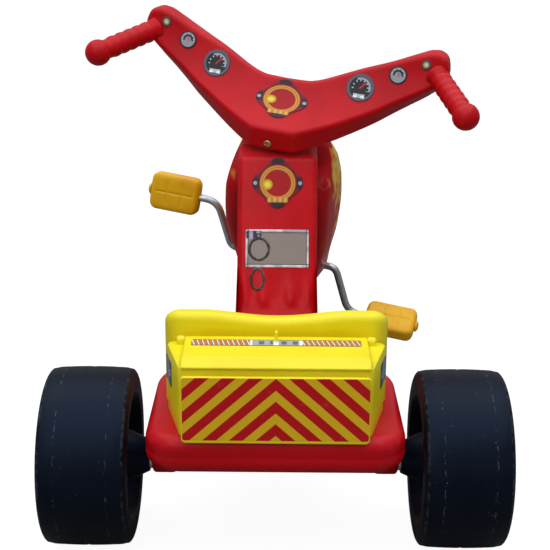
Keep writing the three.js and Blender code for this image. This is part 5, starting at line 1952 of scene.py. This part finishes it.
@dataclass
class Axle:
    """The rear axle rod and its push-on caps.

    Attributes:
        place: the frame of the fixed pieces.
        height: the axle's height.
        radius: of the rod.
        reach: half the rod's length.
        seat: X where a cap starts.
    """

    place: Place
    height: float = 107.5
    radius: float = 5.0
    reach: float = 260.0
    seat: float = 258.25

    def rod_skin(self) -> Skin:
        """The rod: a turned line with rounded ends."""
        far, thick = self.reach, self.radius
        line = filleted([(-far, 0.3), (-far, thick), (far, thick), (far, 0.3)], [1.2, 1.2], 4)
        return Skin(turned(dense(line, 12), 32) + np.array([0, 0, self.height]))

    def cap_skin(self, side: Side) -> Skin:
        """A cap: a stepped dome round the rod's end."""
        points = [(0, 5.4), (0, 15), (4, 14.6), (7.5, 10), (9.9, 6), (9.9, 0.4), (7, 0.4), (6.6, 5.4)]
        rings = turned(dense(filleted(points, [0.8, 2, 3, 2.5, 0.3, 0.3], 4), 2), 48)
        rings[..., 0] = (rings[..., 0] + self.seat) * side.value
        return Skin(rings + np.array([0, 0, self.height]), loop=True)

    def build(self) -> None:
        """Makes the rod and the caps."""
        fit("axle_rod", [self.rod_skin()], self.place, ZINC.material(), Body.FRAME, Slot.ZINC, ["rear_axle"])
        black = BLACK.material()
        for side in Side:
            name, node = f"axle_dome_{side.word}", f"axle_cap_{side.word}"
            fit(name, [self.cap_skin(side)], self.place, black, Body.FRAME, Slot.BLACK, [node])

# --- studio


@dataclass
class Studio:
    """A pale floor, soft lights and the camera.

    Attributes:
        place: the frame of the fixed pieces.
        eye: the camera from the rear axle's middle, in millimetres.
        pitch: how far the camera looks down.
        roll: its turn about its own axis.
        lens: its focal length on a 36 mm sensor.
        shift: its sideways shift, as a share of the width.
    """

    place: Place
    eye: Triple = (0.0, -1299.5, 761.6)
    pitch: float = math.radians(18)
    roll: float = math.radians(0.5)
    lens: float = 77.24
    shift: float = -1.9 / 550

    def floor(self) -> None:
        """A pale floor: a wide flat disc of rings, that throws little light back at the underside."""
        angle = np.linspace(0, TAU, 96, endpoint=False)
        radius = np.array([60.0, 20.0, 6.0, 2.0, 0.5])[:, None]
        flat = [radius * np.cos(angle), radius * np.sin(angle), 0 * radius * angle]
        upper = np.stack([*flat[:2], flat[2] - 1e-4], axis=-1)
        rings = np.concatenate([upper[::-1], upper - np.array([0, 0, 0.05])]) / MM
        material, wiring, shader = blank("studio_floor")
        tone = wiring.noise(wiring.coordinates(), 3.0, 4.0)
        colour = wiring.paint(tone, (0.17, 0.17, 0.17, 1.0), (0.20, 0.20, 0.20, 1.0))
        wiring.feed(shader.inputs["Base Color"], colour)
        seen = wiring.node("ShaderNodeLightPath").outputs["Is Camera Ray"]
        glow = wiring.paint(seen, (0.0, 0.0, 0.0, 1.0), (0.93, 0.93, 0.93, 1.0))
        wiring.feed(shader.inputs["Emission Color"], glow)
        wiring.fill(shader, Emission_Strength=1.0, Roughness=0.9, Specular_IOR_Level=0.1)
        made("studio_floor_disc", [Skin(rings)], Place(np.zeros(3), np.eye(3)), material)

    def light(
        self, name: str, at: Sequence[float], aim: Sequence[float], size: float, power: float, colour: Colour
    ) -> None:
        """A square area light.

        Args:
            name: its name.
            at: its place, in metres.
            aim: what it points at, in metres.
            size: its side, in metres.
            power: in watts.
            colour: of its light.
        """
        data = bpy.data.lights.new(name, "AREA")
        data.shape, data.size, data.energy, data.color = "SQUARE", size, power, colour
        lamp_object = bpy.data.objects.new(name, data)
        towards = Vector(aim) - Vector(at)
        turn = towards.to_track_quat("-Z", "Y").to_matrix().to_4x4()
        lamp_object.matrix_world = Matrix.Translation(at) @ turn
        bpy.context.scene.collection.objects.link(lamp_object)

    def lights(self) -> None:
        """A wide cool light overhead, a warmer one behind the camera, and a pale surround."""
        self.light("overhead", (0.0, -0.3, 3.2), (0.0, -0.1, 0.0), 5.0, 140.0, (0.90, 0.94, 1.0))
        self.light("fill", (-1.2, -3.2, 2.2), (0.0, 0.0, 0.3), 1.8, 16.0, (1.0, 0.98, 0.95))
        world = bpy.context.scene.world or bpy.data.worlds.new("studio")
        bpy.context.scene.world = world
        world.use_nodes = True
        background = next(node for node in world.node_tree.nodes if node.type == "BACKGROUND")
        wiring = Wiring(world.node_tree)
        seen = wiring.node("ShaderNodeLightPath").outputs["Is Camera Ray"]
        sky = wiring.paint(seen, (0.93, 0.96, 1.0, 1.0), (2.7, 2.7, 2.7, 1.0))
        wiring.feed(background.inputs["Color"], sky)
        background.inputs["Strength"].default_value = 0.36
        bpy.context.scene.view_settings.view_transform = "Standard"

    def camera(self) -> None:
        """The camera: behind and above the tricycle, looking forwards and down."""
        data = bpy.data.cameras.new("camera")
        data.sensor_width, data.lens, data.shift_x = 36.0, self.lens, self.shift
        data.clip_end = 200.0
        eye = self.place.world(np.array([self.eye]))[0]
        turn = Matrix.Rotation(math.pi / 2 - self.pitch, 4, "X") @ Matrix.Rotation(self.roll, 4, "Z")
        camera = bpy.data.objects.new("camera", data)
        camera.matrix_world = Matrix.Translation(eye) @ turn
        bpy.context.scene.collection.objects.link(camera)
        bpy.context.scene.camera = camera

    def build(self) -> None:
        """Makes the floor, the lights and the camera."""
        self.floor()
        self.lights()
        self.camera()


def carry_over() -> None:
    """Dresses the small CAD parts that are shown as they are."""
    zinc, nylon = ZINC.material(), NYLON.material()
    kept = {
        zinc: ("steering_stem", "seat_bolt_left", "seat_bolt_right", "lid_pin_left", "lid_pin_right"),
        nylon: (
            "head_bush_upper", "head_bush_lower", "crank_bush_left", "crank_bush_right", "axle_washer_left",
            "axle_washer_right",
        ),
    }
    for material, nodes in kept.items():
        for node in nodes:
            for slot in frame["nodes"][node].material_slots:
                slot.material = material
            LOG.info("%s kept, dressed in %s", node, material.name)


def main() -> None:
    """Builds the tricycle's looks and the studio."""
    logging.basicConfig(level=logging.INFO, format="%(name)s: %(message)s")
    fixed, steer = rear_place(), steering_place()
    chassis = Chassis(fixed, steer)
    chassis.build()
    Seat(fixed).build()
    StorageBox(fixed).build()
    black = TREAD.material()
    axle = Axle(fixed)
    middle = fixed.shifted((0, 0, axle.height))
    for side in Side:
        Wheel(
            name=f"rear_tyre_{side.word}", body=Body[f"REAR_WHEEL_{side.name}"], place=middle, side=side,
            radius=axle.height, inner=170.5, outer=274.0, shoulder=26.0, barrel=2.0, hub=19.0, cone=34.0,
            ends=(152.0, 258.0), bore=5.4, dish=(24.0, 24.0),
        ).build(black)
    Wheel(
        name="front_tyre", body=Body.FRONT_WHEEL, place=spin_place("front_wheel_spin"), ribs=10,
        radius=185.1, inner=-21.0, outer=21.0, shoulder=15.0, hub=22.0, cone=30.0,
        ends=(-24.0, 24.0), bore=6.3, dish=(9.0, 9.0),
    ).build(black)
    axle.build()
    Steering(steer).build()
    Pedal(Side.LEFT, math.radians(58)).build()
    Pedal(Side.RIGHT, math.radians(-2)).build()
    Handlebar(steer).build()
    NeckFilms(chassis).build()
    carry_over()
    Studio(fixed).build()


if __name__ == "__main__":
    main()
